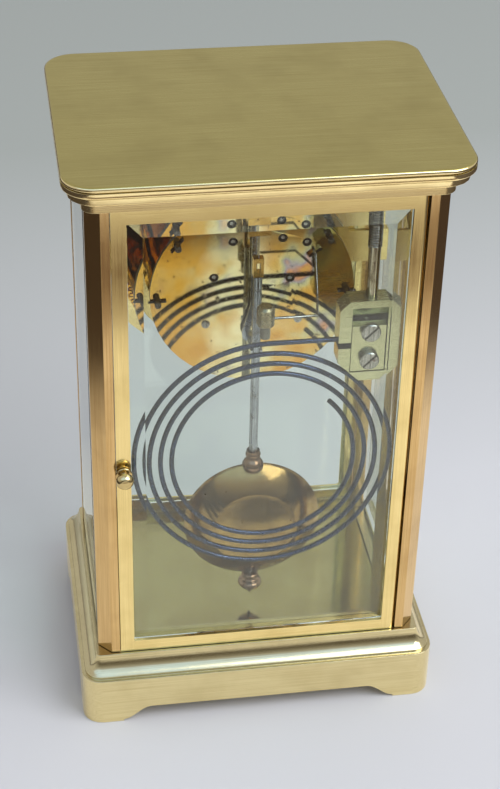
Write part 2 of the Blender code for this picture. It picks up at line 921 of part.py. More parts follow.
def slot_outline():
    """The hammer's slot, turned so that its length follows the arm's swing."""
    turn = math.atan2(slot_z - hammer_z, slot_x - hammer_x) + upright
    outline = []
    for side_x, side_z in ((-1, -1), (1, -1), (1, 1), (-1, 1)):
        x = side_x * slot_length
        z = side_z * slot_width
        along = (x * math.cos(turn) - z * math.sin(turn)) / 2
        across = (x * math.sin(turn) + z * math.cos(turn)) / 2
        outline.append((slot_x + along, slot_z + across))
    return outline


def make_plates():
    """The round plates; the front one carries the pillars, which the back one is pinned to."""
    trains = [third_place, escape_place, pin_wheel_place, fly_place, hammer_place]
    barrels = [going_place, strike_place]
    pivot_hole = pivot_radius + running_fit
    barrel_hole = barrel_arbor_radius + running_fit
    half = plate_thickness / 2
    ends = (-half - overrun, half + overrun)
    sink_floor = -half + sink_depth
    holes = [[(slot_outline(), ends[0]), (slot_outline(), ends[1])]]
    plain = [(post_end_radius + running_fit, place) for place in post_places()]
    plain += [(barrel_hole, place) for place in barrels]
    plain += [(pivot_hole, centre_place), (arbor_radius + gap, (0, pallet_z))]
    for radius, place in plain:
        outline = circle(radius, pin_steps, place)
        holes.append([(outline, ends[0]), (outline, ends[1])])
    for place in trains:
        sink = circle(sink_radius, pin_steps, place)
        outline = circle(pivot_hole, pin_steps, place)
        holes.append([(sink, ends[0]), (sink, sink_floor), (outline, sink_floor), (outline, ends[1])])
    edge = circle(plate_radius, plate_steps)
    disc = stacks_mesh("back_plate", [[(edge, -half), (edge, half)]])
    back_place = (0, back_plate_rear - half, movement_height)
    back = part("back_plate", disc, "plate_brass", back_place, upright)
    cut(back, part("back_holes", stacks_mesh("back_holes", holes), "plate_brass", back_place, upright))

    front_outlines = [circle(plate_radius, plate_steps), circle(cannon_radius + gap, pin_steps)]
    front_outlines += [circle(pivot_hole, pin_steps, place) for place in trains + [(0, pallet_z)]]
    front_outlines += [circle(barrel_hole, pin_steps, place) for place in barrels]
    front_outlines.append(circle(arbor_radius + running_fit, pin_steps, minute_place))
    front_mesh = outline_mesh("front_plate", front_outlines, plate_thickness)
    front_y = front_inner - plate_thickness / 2
    front = part("front_plate", front_mesh, "plate_brass", (0, front_y, movement_height), upright)
    for index, place in enumerate(post_places()):
        join(front, movement_post(index, place))


def movement_post(index, place):
    """A turned pillar with a waist, riveted in the front plate, and a pin across its rear end."""
    space = plate_space
    foot = -plate_thickness / 2
    end = space + plate_thickness + post_end_length
    profile = [
        (0, end),
        (post_end_radius, end),
        (post_end_radius, space - gap),
        (post_radius, space - gap),
        (post_radius, space * post_waist_shares[3]),
        (post_waist, space * post_waist_shares[2]),
        (post_waist, space * post_waist_shares[1]),
        (post_radius, space * post_waist_shares[0]),
        (post_radius, foot),
        (0, foot),
    ]
    spot = (place[0], front_inner, movement_height + place[1])
    post = turned(f"post_{index}", profile, "plate_brass", spot, to_rear, pin_steps)
    pin = rod_mesh(f"post_pin_{index}", post_pin_radius, post_pin_length, 8)
    height = back_plate_rear + gap + post_pin_radius
    pin_part = part(f"post_pin_{index}", pin, "polished_steel", (place[0], height, movement_height + place[1]))
    lean = post_pin_lean if place[1] > 0 else upright
    direction = 1 if place[0] > 0 else -1
    pin_part.rotation_euler.y = direction * lean
    offset = Matrix.Rotation(direction * lean, 4, "Y") @ Matrix.Translation((0, 0, -post_pin_length / 2))
    pin_part.location.x += offset.translation.x
    pin_part.location.z += offset.translation.z
    return join(post, pin_part)


def fuse(name, base, others):
    for other in others:
        join(base, other)
    base.name = name
    base.data.name = name
    return base


def train_wheel(name, place, wheel, pinion, arbor_span, crossed=True, finish="plate_brass"):
    """A wheel and a pinion on one arbor: each is (teeth, pitch radius, phase, layer)."""
    start_y, length = arbor_span
    shaft = arbor(f"{name}_shaft", place, start_y, length, pivot_radius)
    teeth, radius, phase, layer = wheel
    disc = gear(f"{name}_disc", teeth, radius, phase, wheel_thickness, layer, place, finish, crossed)
    pieces = [shaft]
    if pinion:
        teeth, radius, phase, layer = pinion
        middle = layer - (pinion_length - wheel_thickness) / 2
        pieces.append(gear(f"{name}_leaves", teeth, radius, phase, pinion_length, middle, place))
    return fuse(name, disc, pieces)


def distance(start, end):
    return math.hypot(end[0] - start[0], end[1] - start[1])


def make_going_train():
    span = pivot_span
    great, centre_pinion = pitch_radii(distance(going_place, centre_place), great_teeth, centre_pinion_teeth)
    great_phase, centre_pinion_phase = mesh_phases(going_place, centre_place, centre_pinion_teeth)
    centre, third_pinion = pitch_radii(distance(centre_place, third_place), centre_teeth, third_pinion_teeth)
    centre_phase, third_pinion_phase = mesh_phases(centre_place, third_place, third_pinion_teeth)
    third, escape_pinion = pitch_radii(distance(third_place, escape_place), third_teeth, escape_pinion_teeth)
    third_phase, escape_pinion_phase = mesh_phases(third_place, escape_place, escape_pinion_teeth)

    make_barrel("going", going_place, great_teeth, great, great_phase)
    centre_y = front_inner + centre_layer
    centre_arbor = train_wheel(
        "centre_wheel",
        centre_place,
        (centre_teeth, centre, centre_phase, centre_y),
        (centre_pinion_teeth, centre_pinion, centre_pinion_phase, front_inner + great_wheel_layer),
        (front_inner, plate_space + pivot_depth),
    )
    cannon_start = front_outer - centre_nose
    cannon_length = front_inner + gap - cannon_start
    join(centre_arbor, arbor("cannon_pipe", centre_place, cannon_start, cannon_length, cannon_radius))
    cannon, minute = pitch_radii(minute_arbor_drop, cannon_teeth, minute_teeth)
    cannon_phase, minute_phase = mesh_phases(centre_place, minute_place, minute_teeth)
    cannon_y = front_outer - minute_layer - wheel_thickness
    leaves = gear("cannon_leaves", cannon_teeth, cannon, cannon_phase, wheel_thickness, cannon_y, centre_place)
    join(centre_arbor, leaves)

    train_wheel(
        "third_wheel",
        third_place,
        (third_teeth, third, third_phase, front_inner + third_layer),
        (third_pinion_teeth, third_pinion, third_pinion_phase, centre_y),
        span,
    )
    make_escape_wheel((escape_pinion_teeth, escape_pinion, escape_pinion_phase, front_inner + third_layer), span)
    make_motion_work((minute_teeth, minute, minute_phase, cannon_y))


def make_escape_wheel(pinion, span):
    """A wheel with raked teeth that stand clear of the pallets."""
    pitch = 2 * math.pi / escape_teeth
    outline = []
    for tooth in range(escape_teeth):
        angle = tooth * pitch
        outline.append((escape_radius * math.cos(angle), escape_radius * math.sin(angle)))
        back = angle + pitch * escape_back_share
        root = escape_radius * rim_share
        outline.append((root * math.cos(back), root * math.sin(back)))
        toe = angle + pitch * escape_toe_share
        outline.append((root * math.cos(toe), root * math.sin(toe)))
    openings = crossing_outlines(escape_radius * escape_cross_share, 4)
    mesh = outline_mesh("escape_wheel", [outline] + openings, wheel_thickness)
    y = front_inner + escape_layer + wheel_thickness / 2
    wheel = part("escape_wheel", mesh, "plate_brass", (escape_x, y, movement_height + escape_z), upright)
    teeth, radius, phase, layer = pinion
    middle = layer - (pinion_length - wheel_thickness) / 2
    leaves = gear("escape_leaves", teeth, radius, phase, pinion_length, middle, escape_place)
    shaft = arbor("escape_shaft", escape_place, span[0], span[1], pivot_radius)
    fuse("escape_wheel", wheel, [leaves, shaft])


def make_barrel(label, place, teeth, radius, phase):
    """A spring barrel with its great wheel, and the arbor that winds it."""
    wheel_y = front_inner + great_wheel_layer
    wheel = gear(f"{label}_great_wheel", teeth, radius, phase, wheel_thickness, wheel_y, place)
    drum_length = drum_layer + drum_height - great_wheel_layer - wheel_thickness / 2
    drum = arbor(f"{label}_drum", place, wheel_y + wheel_thickness / 2, drum_length, drum_radius, "plate_brass")
    drum.data = rod_mesh(f"{label}_drum", drum_radius, drum_length, plate_steps)
    barrel = fuse(f"{label}_barrel", wheel, [drum])
    bore_radius = barrel_arbor_radius + running_fit
    bore_length = drum_length + wheel_thickness + 2 * overrun
    cut(barrel, arbor(f"{label}_barrel_bore", place, wheel_y - overrun, bore_length, bore_radius))

    start = front_outer - winding_reach
    length = back_plate_rear + sink_depth - start
    shaft = arbor(f"{label}_winding_arbor", place, start, length, barrel_arbor_radius)
    for side in range(4):
        flat_low = winding_square / 2
        flat_high = (winding_square, winding_reach * winding_square_share, 2 * flat_low)
        block = box_mesh("flat", (-winding_square, -overrun, flat_low), flat_high)
        flat = part(f"{label}_square_{side}", block, "polished_steel", (place[0], start, movement_height + place[1]))
        flat.rotation_euler.y = upright * side
        cut(shaft, flat)


def make_motion_work(minute_wheel):
    """The minute wheel with its pinion, and the hour wheel on its pipe."""
    teeth, radius, phase, layer = minute_wheel
    small, hour = pitch_radii(minute_arbor_drop, minute_pinion_teeth, hour_teeth)
    hour_phase, small_phase = mesh_phases(centre_place, minute_place, minute_pinion_teeth)
    hour_y = front_outer - hour_layer - wheel_thickness
    disc = gear("minute_wheel", teeth, radius, phase, wheel_thickness, layer, minute_place)
    leaves = gear("minute_leaves", minute_pinion_teeth, small, small_phase, layer - hour_y, hour_y, minute_place)
    leaves.location.y += gap
    stud_length = layer - hour_y + plate_thickness + minute_layer + wheel_thickness
    stud = arbor("minute_stud", minute_place, hour_y, stud_length, arbor_radius)
    fuse("minute_wheel", disc, [leaves, stud])
    wheel = gear("hour_wheel", hour_teeth, hour, hour_phase, wheel_thickness, hour_y, centre_place)
    pipe_end = front_outer - hour_hand_forward - hand_thickness / 2
    pipe = arbor("hour_pipe", centre_place, pipe_end, hour_y - pipe_end + gap, hour_pipe_outer)
    join(wheel, pipe)
    bore_length = hour_y + wheel_thickness - pipe_end + 2 * overrun
    cut(wheel, arbor("hour_bore", centre_place, pipe_end - overrun, bore_length, hour_pipe_inner))


def make_strike_train():
    """Barrel, pin wheel and fly: the pins would lift the hammer's tail."""
    span = pivot_span
    strike, strike_pinion = pitch_radii(distance(strike_place, pin_wheel_place), strike_teeth, strike_pinion_teeth)
    strike_phase, pinion_phase = mesh_phases(strike_place, pin_wheel_place, strike_pinion_teeth)
    pin_wheel, fly_pinion = pitch_radii(distance(pin_wheel_place, fly_place), pin_wheel_teeth, fly_pinion_teeth)
    pin_phase, fly_phase = mesh_phases(pin_wheel_place, fly_place, fly_pinion_teeth)
    make_barrel("strike", strike_place, strike_teeth, strike, strike_phase)
    pin_y = front_inner + pin_wheel_layer
    wheel = train_wheel(
        "pin_wheel",
        pin_wheel_place,
        (pin_wheel_teeth, pin_wheel, pin_phase, pin_y),
        (strike_pinion_teeth, strike_pinion, pinion_phase, front_inner + great_wheel_layer),
        span,
        crossed=False,
    )
    for index in range(lifting_pins):
        angle = 2 * math.pi * index / lifting_pins
        x = pin_wheel_x + lifting_pin_circle * math.cos(angle)
        z = pin_wheel_z + lifting_pin_circle * math.sin(angle)
        length = lifting_pin_length + wheel_thickness / 2
        pin = rod_mesh("lifting_pin", lifting_pin_radius, length, 6)
        place = (x, pin_y + wheel_thickness / 2, movement_height + z)
        join(wheel, part(f"lifting_pin_{index}", pin, "polished_steel", place, to_rear))

    middle = pin_y - (pinion_length - wheel_thickness) / 2
    fly = gear("fly", fly_pinion_teeth, fly_pinion, fly_phase, pinion_length, middle, fly_place)
    shaft = arbor("fly_shaft", fly_place, span[0], span[1], pivot_radius)
    half = (fly_width / 2, fly_thickness / 2)
    blade_mesh = box_mesh("blade", (-half[0], 0, -half[1]), (half[0], fly_height, half[1]))
    blade_y = front_inner + drum_layer
    blade = part("fly_blade", blade_mesh, "plate_brass", (fly_x, blade_y, movement_height + fly_z))
    fuse("fly", fly, [shaft, blade])


def make_dial():
    """The carrier that hangs the movement from the front pillars, the dial and its bezel."""
    ring_y = front_outer - gap - carrier_thickness / 2
    outlines = [circle(carrier_outer, plate_steps), circle(carrier_inner, plate_steps)]
    ring_mesh = outline_mesh("movement_carrier", outlines, carrier_thickness)
    ring = part("movement_carrier", ring_mesh, "lacquered_brass", (0, ring_y, movement_height), upright)
    rear = ring_y + carrier_thickness / 2
    front = ring_y - carrier_thickness / 2
    foot_outer = pillar_inner + carrier_foot
    foot_front = -lip_end + gap
    half = carrier_arm / 2
    inner = (carrier_inner + carrier_outer) / 2
    for side in (-1, 1):
        xs = sorted((side * inner, side * foot_outer))
        arm = box_mesh("arm", (xs[0], front, movement_height - half), (xs[1], rear, movement_height + half))
        join(ring, part("carrier_arm", arm, "lacquered_brass"))
        xs = sorted((side * (foot_outer - carrier_foot), side * foot_outer))
        foot = box_mesh("foot", (xs[0], foot_front, movement_height - half), (xs[1], rear, movement_height + half))
        join(ring, part("carrier_foot", foot, "lacquered_brass"))

    holes = [circle(dial_hole)]
    for place in (going_place, strike_place):
        holes.append(circle(winding_hole, pin_steps, place))
    dial_mesh = outline_mesh("dial", [circle(dial_radius, plate_steps)] + holes, dial_thickness)
    part("dial", dial_mesh, "white_enamel", (0, dial_front + dial_thickness / 2, movement_height), upright)
    make_bezel(front - gap)


bezel_shares = ((1, 0), (1, 0.25), (0.96, 0.36), (0.97, 0.55), (0.9, 0.8), (0.62, 1), (0.3, 0.96), (0, 0.78))


def make_bezel(back):
    """A turned ring that holds the dial's edge against the carrier."""
    width = bezel_outer - bezel_inner
    depth = bezel_depth
    seat = dial_radius + gap
    seat_level = back - dial_front + gap
    outer = [(bezel_inner + share * width, up * depth) for share, up in reversed(bezel_shares)]
    profile = outer + [(seat, 0), (seat, seat_level), (bezel_inner, seat_level)]
    turned("bezel", profile, "lacquered_brass", (0, back, movement_height), upright, plate_steps, ring=True)


def hand_outline(length, boss):
    """A pointer with an open ring near its tip."""
    ring_centre = length * hand_ring_share
    start = math.degrees(math.asin(hand_half_width / boss))
    join_angle = math.degrees(math.asin(hand_half_width / hand_ring_radius))
    outer = arc((0, 0), boss, 90 + start, 450 - start, 2 * hand_steps)
    outer += arc((0, ring_centre), hand_ring_radius, -90 + join_angle, 90 - join_angle, hand_steps)
    outer += [(0, length)]
    outer += arc((0, ring_centre), hand_ring_radius, 90 + join_angle, 270 - join_angle, hand_steps)
    hole = circle(hand_ring_radius - hand_ring_width, pin_steps, (0, ring_centre))
    return outer, hole


def make_hands():
    hands = (
        ("hour_hand", hour_hand_length, hour_hand_forward, hour_pipe_outer, hour_angle),
        ("minute_hand", minute_hand_length, minute_hand_forward, cannon_radius, minute_angle),
    )
    for name, length, forward, pipe, angle in hands:
        outer, hole = hand_outline(length, pipe + 2 * hand_ring_width)
        mesh = outline_mesh(name, [outer, hole, circle(pipe + gap / 2, pin_steps)], hand_thickness)
        hand = part(name, mesh, "blued_steel", (0, front_outer - forward, movement_height), upright)
        hand.rotation_euler.y = math.radians(angle)


def make_suspension():
    """The cock on the back plate with its slit, and the spring strip that the pendulum hangs from."""
    foot_y = back_plate_rear + gap
    half = cock_width / 2
    top = cock_bottom + cock_height
    block = box_mesh("cock", (-half, foot_y, cock_bottom), (half, foot_y + cock_reach, top))
    cock = part("suspension_cock", block, "aged_brass")
    half_foot = cock_foot_width / 2
    foot = box_mesh("foot", (-half_foot, foot_y, cock_bottom), (half_foot, foot_y + cock_foot_thickness, top))
    join(cock, part("cock_foot", foot, "aged_brass"))
    for side in (-1, 1):
        screw = rod_mesh("cock_screw", cock_screw_radius, cock_screw_height)
        place = (side * (half + half_foot) / 2, foot_y + cock_foot_thickness - gap, cock_bottom + cock_height / 2)
        join(cock, part("cock_screw", screw, "polished_steel", place, to_rear))
    reach = spring_width / 2 + gap
    slit = box_mesh(
        "slit",
        (-cock_slit / 2, pendulum_y - reach, cock_bottom - overrun),
        (cock_slit / 2, pendulum_y + reach, cock_bottom + cock_slit_depth),
    )
    cut(cock, part("cock_slit", slit, "aged_brass"))

    hook_top = rod_top - gap + hook_height
    half_spring = (spring_thickness / 2, spring_width / 2)
    strip = box_mesh(
        "suspension_spring",
        (-half_spring[0], pendulum_y - half_spring[1], hook_top + gap),
        (half_spring[0], pendulum_y + half_spring[1], spring_top),
    )
    swing = pivot("pendulum_swing", Matrix.Translation((0, pendulum_y, swing_height)))
    hang(part("suspension_spring", strip, "polished_steel"), swing)
    return swing


collar_shares = (
    (0, 1), (0.5, 1), (0.5, 0.93), (0.68, 0.86), (0.62, 0.76), (0.5, 0.7), (0.86, 0.56),
    (1, 0.42), (0.92, 0.28), (0.62, 0.18), (0.7, 0.1), (0.7, 0), (0, 0),
)
finial_shares = (
    (0, 1), (0.5, 1), (0.66, 0.95), (0.68, 0.88), (0.55, 0.82), (0.62, 0.75), (0.88, 0.67),
    (1, 0.58), (0.94, 0.48), (0.62, 0.38), (0.4, 0.28), (0.26, 0.2), (0, 0),
)


def bore_along_rod(obj, radius, bottom, top):
    hole = rod_mesh("rod_bore", radius, top - bottom)
    cut(obj, part("rod_bore", hole, "aged_brass", (0, pendulum_y, bottom)))


def make_pendulum(swing):
    """Hook, rod, collar, bob and rating nut, all on the swing axis."""
    hook_low = (-hook_width / 2, pendulum_y - hook_depth / 2, rod_top - gap)
    hook_high = (hook_width / 2, pendulum_y + hook_depth / 2, rod_top - gap + hook_height)
    hook = part("pendulum_hook", box_mesh("pendulum_hook", hook_low, hook_high), "aged_brass")
    middle = (hook_low[2] + hook_high[2]) / 2
    window = box_mesh(
        "window",
        (-hook_slot_width / 2, hook_low[1] - overrun, middle - hook_slot_height / 2),
        (hook_slot_width / 2, hook_high[1] + overrun, middle + hook_slot_height / 2),
    )
    cut(hook, part("hook_window", window, "aged_brass"))

    bob_top = bob_centre + bob_radius
    upper = rod_mesh("pendulum_rod", rod_radius, rod_top - 2 * gap - rod_end, small_steps)
    rod = part("pendulum_rod", upper, "polished_steel", (0, pendulum_y, rod_end))

    profile = shares_profile(collar_shares, collar_radius, collar_height, collar_bottom)
    collar = turned("pendulum_collar", profile, "aged_brass", (0, pendulum_y, 0), steps=small_steps)
    bore_along_rod(collar, rod_radius + gap, collar_bottom - overrun, collar_bottom + collar_height + overrun)

    bob = make_bob()
    bore_along_rod(bob, rod_radius + gap, bob_centre - bob_radius - overrun, bob_top + overrun)

    bottom = finial_top - finial_height
    profile = shares_profile(finial_shares, finial_radius, finial_height, bottom)
    nut = turned("rating_nut", profile, "aged_brass", (0, pendulum_y, 0), steps=small_steps)
    bore_along_rod(nut, rod_radius + gap, rod_end - gap, finial_top + overrun)
    for obj in (hook, rod, collar, bob, nut):
        hang(obj, swing)


bob_profile_shares = ((0, 0.94), (0.94, 0.94), (1, 1))


def make_bob():
    """Two shallow cones with flat middles, turned about Y, and a notch that takes the collar."""
    flat = [(bob_flat * across, bob_half * up) for across, up in bob_profile_shares]
    profile = flat + [(bob_radius, bob_rim), (bob_radius, -bob_rim)]
    profile += [(across, -up) for across, up in reversed(flat)]
    bob = turned("pendulum_bob", profile, "aged_brass", (0, pendulum_y, bob_centre), to_rear, bob_steps)
    notch_depth = bob_centre + bob_radius - collar_bottom + gap
    notch = rod_mesh("collar_notch", collar_radius + gap, notch_depth + overrun, turn_steps)
    cut(bob, part("collar_notch", notch, "aged_brass", (0, pendulum_y, collar_bottom - gap)))
    return bob


def make_crutch():
    """The pallets on their arbor inside, and the crutch outside that takes the pendulum rod."""
    axis = pivot("pallet_axis", Matrix.Translation((0, back_plate_rear, swing_height)))
    layer = front_inner + escape_layer
    toward = (escape_x, escape_z - pallet_z)
    reach = math.hypot(*toward)
    along = (toward[0] / reach, toward[1] / reach)
    across = (-along[1], along[0])
    clear = escape_radius + 2 * gap
    half = pallet_span / 2

    def spot(side, depth):
        return (side * across[0] + depth * along[0], side * across[1] + depth * along[1])

    top = pallet_arm
    outline = [spot(-half, -top), spot(half, -top), spot(half, pallet_reach), spot(half - top, pallet_reach)]
    shoulder = reach - clear - top
    outline += [spot(half - top, min(shoulder, top)), spot(-half + top, min(shoulder, top))]
    outline += [spot(-half + top, pallet_reach), spot(-half, pallet_reach)]
    mesh = outline_mesh("pallets", [outline], pallet_thickness)
    place = (0, layer + pallet_thickness / 2, swing_height)
    pallets = part("pallets", mesh, "polished_steel", place, upright)
    start = pivot_span[0]
    length = crutch_y - start - crutch_thickness
    join(pallets, arbor("pallet_arbor", (0, pallet_z), start, front_inner + 2 * gap - start, pivot_radius))
    join(pallets, arbor("pallet_shaft", (0, pallet_z), front_inner + gap, start + length - front_inner, arbor_radius))

    crutch = make_crutch_arm()
    for obj in (pallets, crutch):
        hang(obj, axis)


def make_crutch_arm():
    """A collet, an arm, a pear shaped loop and two prongs beside the rod."""
    half = crutch_arm / 2
    top = crutch_pear_top
    wide = crutch_pear_width / 2
    low = crutch_pear_bottom + wide
    collet = arc((0, swing_height), crutch_collet, crutch_collet_opening - 90, 270 - crutch_collet_opening, pin_steps)
    bowl = arc((0, low), wide, 180 - crutch_pear_opening, 360 + crutch_pear_opening, pin_steps)
    outer = collet + [(-half, top)] + bowl + [(half, top)]
    hole = arc((0, low), wide - crutch_wall, 180 + crutch_hole_opening, 360 - crutch_hole_opening, pin_steps)
    inner = [(0, top - 2 * crutch_wall)] + hole
    outer.reverse()
    mesh = outline_mesh("crutch", [outer, inner], crutch_thickness)
    crutch = part("crutch", mesh, "polished_steel", (0, crutch_y + crutch_thickness / 2, 0), upright)
    prong_inner = rod_radius + crutch_prong_gap
    for side in (-1, 1):
        xs = sorted((side * prong_inner, side * (prong_inner + crutch_prong_thickness)))
        start = crutch_y + crutch_thickness / 2
        prong_low = (xs[0], start, crutch_pear_bottom + crutch_wall / 2 - crutch_prong_height / 2 + gap)
        prong_high = (xs[1], pendulum_y + rod_radius + 2 * gap, prong_low[2] + crutch_prong_height)
        join(crutch, part("crutch_prong", box_mesh("prong", prong_low, prong_high), "polished_steel"))
    return crutch


def gong_route():
    """A straight run out of the block, then a flat spiral inwards that leans back at the bottom."""
    top = gong_z + gong_radius
    points = []
    straight_steps = 3
    start = -gong_foot
    for step in range(straight_steps):
        points.append((start + (gong_x - start) * step / straight_steps, gong_y, top))
    count = round(gong_turns * gong_points_per_turn)
    for step in range(count + 1):
        turn = step / gong_points_per_turn
        radius = gong_radius - gong_pitch * turn
        x = gong_x + radius * math.sin(2 * math.pi * turn)
        z = gong_z + radius * math.cos(2 * math.pi * turn)
        points.append((x, gong_y + (top - z) * math.tan(gong_tilt), z))
    return points


def make_gong():
    part("gong", wire_mesh("gong", gong_route(), gong_wire, 1), "blued_steel")
    print(f"least gap between turns {1000 * (gong_pitch - 2 * gong_wire):.2f} mm")


def make_gong_block():
    """The block with its pocket and wire slot, the clamp plate, its screws, the rod and the nut."""
    width = block_right - block_left
    cuts = [share * width for share in block_chamfer_shares]
    outline = [
        (block_left + cuts[0], block_top),
        (block_right - cuts[1], block_top),
        (block_right, block_top - cuts[1]),
        (block_right, block_bottom + cuts[3]),
        (block_right - cuts[3], block_bottom),
        (block_left + cuts[2], block_bottom),
        (block_left, block_bottom + cuts[2]),
        (block_left, block_top - cuts[0]),
    ]
    depth = block_rear - block_front
    mesh = outline_mesh("gong_block", [outline], depth)
    block = part("gong_block", mesh, "lacquered_brass", (0, (block_front + block_rear) / 2, 0), upright)
    wire_level = gong_z + gong_radius
    pocket_floor = gong_y - gong_wire - wire_seat
    pocket_low = pocket_bottom + cuts[3] / 3
    low = (pocket_left, pocket_floor, pocket_low)
    pocket = box_mesh("pocket", low, (pocket_right, block_rear + overrun, pocket_top))
    cut(block, part("block_pocket", pocket, "lacquered_brass"))
    half_slot = gong_wire + gap
    slot = box_mesh(
        "wire_slot",
        (pocket_right - overrun, pocket_floor, wire_level - half_slot),
        (block_right + overrun, block_rear + overrun, wire_level + half_slot),
    )
    cut(block, part("wire_slot", slot, "lacquered_brass"))
    rod_hole = rod_mesh("rod_hole", gong_rod_radius + running_fit, gong_rod_seat + overrun)
    place = (gong_rod_x, gong_rod_y, block_top - gong_rod_seat)
    cut(block, part("rod_hole", rod_hole, "lacquered_brass", place))

    plate_low = (pocket_left + gap, gong_y + gong_wire + clamp_gap, pocket_low + gap)
    clamp_top = pocket_low + (pocket_top - pocket_low) * clamp_height_share
    plate_high = (pocket_right - gap, block_rear - gap, clamp_top)
    clamp = part("gong_clamp_plate", box_mesh("gong_clamp_plate", plate_low, plate_high), "lacquered_brass")
    for name, rise in (("upper", 1), ("lower", -1)):
        centre = (screw_x, plate_high[1], wire_level + rise * screw_rise)
        clear = rod_mesh("clear_hole", screw_shank_radius + running_fit, depth)
        clear_place = (centre[0], block_front + overrun, centre[2])
        cut(clamp, part(f"{name}_clear_hole", clear, "lacquered_brass", clear_place, to_rear))
        tap_bottom = plate_high[1] - screw_shank_length - gap
        tap = rod_mesh("tapped_hole", screw_shank_radius + running_fit, block_rear - tap_bottom)
        cut(block, part(f"{name}_tapped_hole", tap, "lacquered_brass", (centre[0], tap_bottom, centre[2]), to_rear))
        make_clamp_screw(name, centre)

    roof = cornice_bottom - gap
    rod_bottom = block_top - gong_rod_seat + gap
    rod = rod_mesh("gong_rod", gong_rod_radius, roof - rod_bottom)
    part("gong_rod", rod, "polished_steel", (gong_rod_x, gong_rod_y, rod_bottom))
    nut_hole = circle(gong_rod_radius + running_fit, pin_steps)
    nut = outline_mesh("gong_rod_nut", [circle(gong_nut_radius, nut_sides), nut_hole], gong_nut_height)
    part("gong_rod_nut", nut, "aged_brass", (gong_rod_x, gong_rod_y, roof - gong_nut_height / 2))


def make_clamp_screw(name, centre):
    """A cheese head screw with its slot across at forty five degrees."""
    head = screw_head_height + gap
    profile = [
        (0, head),
        (screw_head_radius * screw_crown_shares[0], head),
        (screw_head_radius, head * screw_crown_shares[1]),
        (screw_head_radius, gap),
        (screw_shank_radius, gap),
        (screw_shank_radius, -screw_shank_length),
        (0, -screw_shank_length),
    ]
    screw = turned(f"clamp_screw_{name}", profile, "polished_steel", centre, to_rear, small_steps)
    half = screw_slot / 2
    reach = screw_head_radius + overrun
    slot = box_mesh("slot", (-reach, head - screw_slot_depth, -half), (reach, head + overrun, half))
    slot_part = part(f"{name}_screw_slot", slot, "polished_steel", centre)
    slot_part.rotation_euler.y = screw_slot_lean
    cut(screw, slot_part)


hammer_head_shares = ((0, 1), (0.72, 1), (1, 0.9), (1, 0.1), (0.78, 0), (0, 0))


def make_hammer():
    """The hammer's arbor with its lever and tail inside, and the wire, head and leather outside."""
    axis = pivot("hammer_axis", Matrix.Translation((hammer_x, back_plate_rear, movement_height + hammer_z)))
    wire_top = gong_z + gong_radius + gong_wire
    tip_bottom = wire_top + hammer_lift
    tip = rod_mesh("hammer_leather", hammer_tip_radius, hammer_tip_height)
    tip_part = part("hammer_leather", tip, "leather", (hammer_head_x, gong_y, tip_bottom))
    head_bottom = tip_bottom + hammer_tip_height - hammer_tip_seat
    profile = shares_profile(hammer_head_shares, hammer_head_radius, hammer_head_height, head_bottom)
    head = turned("hammer_head", profile, "lacquered_brass", (hammer_head_x, gong_y, 0), steps=small_steps)
    seat = rod_mesh("leather_seat", hammer_tip_radius + gap / 2, hammer_tip_seat + gap + overrun)
    cut(head, part("leather_seat", seat, "lacquered_brass", (hammer_head_x, gong_y, head_bottom - overrun)))

    span = pivot_span
    shaft = arbor("hammer_arbor", hammer_place, span[0], span[1], pivot_radius)
    lever_y = front_inner + hammer_lever_layer
    lever = [(hammer_x, lever_y, movement_height + hammer_z), (slot_x, lever_y, movement_height + slot_z)]
    wire_level = head_bottom + hammer_head_height * hammer_wire_share
    outside = back_plate_rear + slot_width
    route = lever + [
        (slot_x, outside, movement_height + slot_z),
        (arm_bend_x, outside, movement_height + arm_bend_z),
        (arm_elbow_x, gong_y, wire_level),
        (hammer_head_x - hammer_head_radius / 2, gong_y, wire_level),
    ]
    arm = part("hammer_arm", wire_mesh("hammer_arm", route, hammer_wire), "polished_steel")
    tail_y = front_inner + pin_wheel_layer + wheel_thickness + lifting_pin_length / 2
    toward = (pin_wheel_x - hammer_x, pin_wheel_z - hammer_z)
    whole = math.hypot(*toward)
    share = (whole - lifting_pin_circle - lifting_pin_radius - tail_clearance) / whole
    tail_end = (hammer_x + toward[0] * share, tail_y, movement_height + hammer_z + toward[1] * share)
    tail_start = (hammer_x, tail_y, movement_height + hammer_z)
    tail = part("hammer_tail", wire_mesh("hammer_tail", [tail_start, tail_end], hammer_wire), "polished_steel")
    fuse("hammer_arm", arm, [shaft, tail])
    socket_start = hammer_head_x - hammer_head_radius - overrun
    socket = rod_mesh("wire_socket", hammer_wire + gap / 2, hammer_head_radius / 2 + overrun + gap)
    socket_part = part("wire_socket", socket, "lacquered_brass", (socket_start, gong_y, wire_level))
    socket_part.rotation_euler.y = upright
    cut(head, socket_part)
    for obj in (arm, head, tip_part):
        hang(obj, axis)


clear_scene()
clock = new_collection("four_glass_mantel_clock")
cutters = new_collection("cutters")
materials = make_materials()
make_plinth()
make_floor()
make_pillars()
make_cornice()
make_lid()
make_side_glasses()
make_door("rear", Matrix.Identity(4))
make_door("front", Matrix.Rotation(math.pi, 4, "Z"))
make_plates()
make_going_train()
make_strike_train()
make_dial()
make_hands()
make_pendulum(make_suspension())
make_crutch()
make_gong()
make_gong_block()
make_hammer()
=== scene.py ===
import json
import math

import bmesh
import bpy
from mathutils import Matrix, Vector


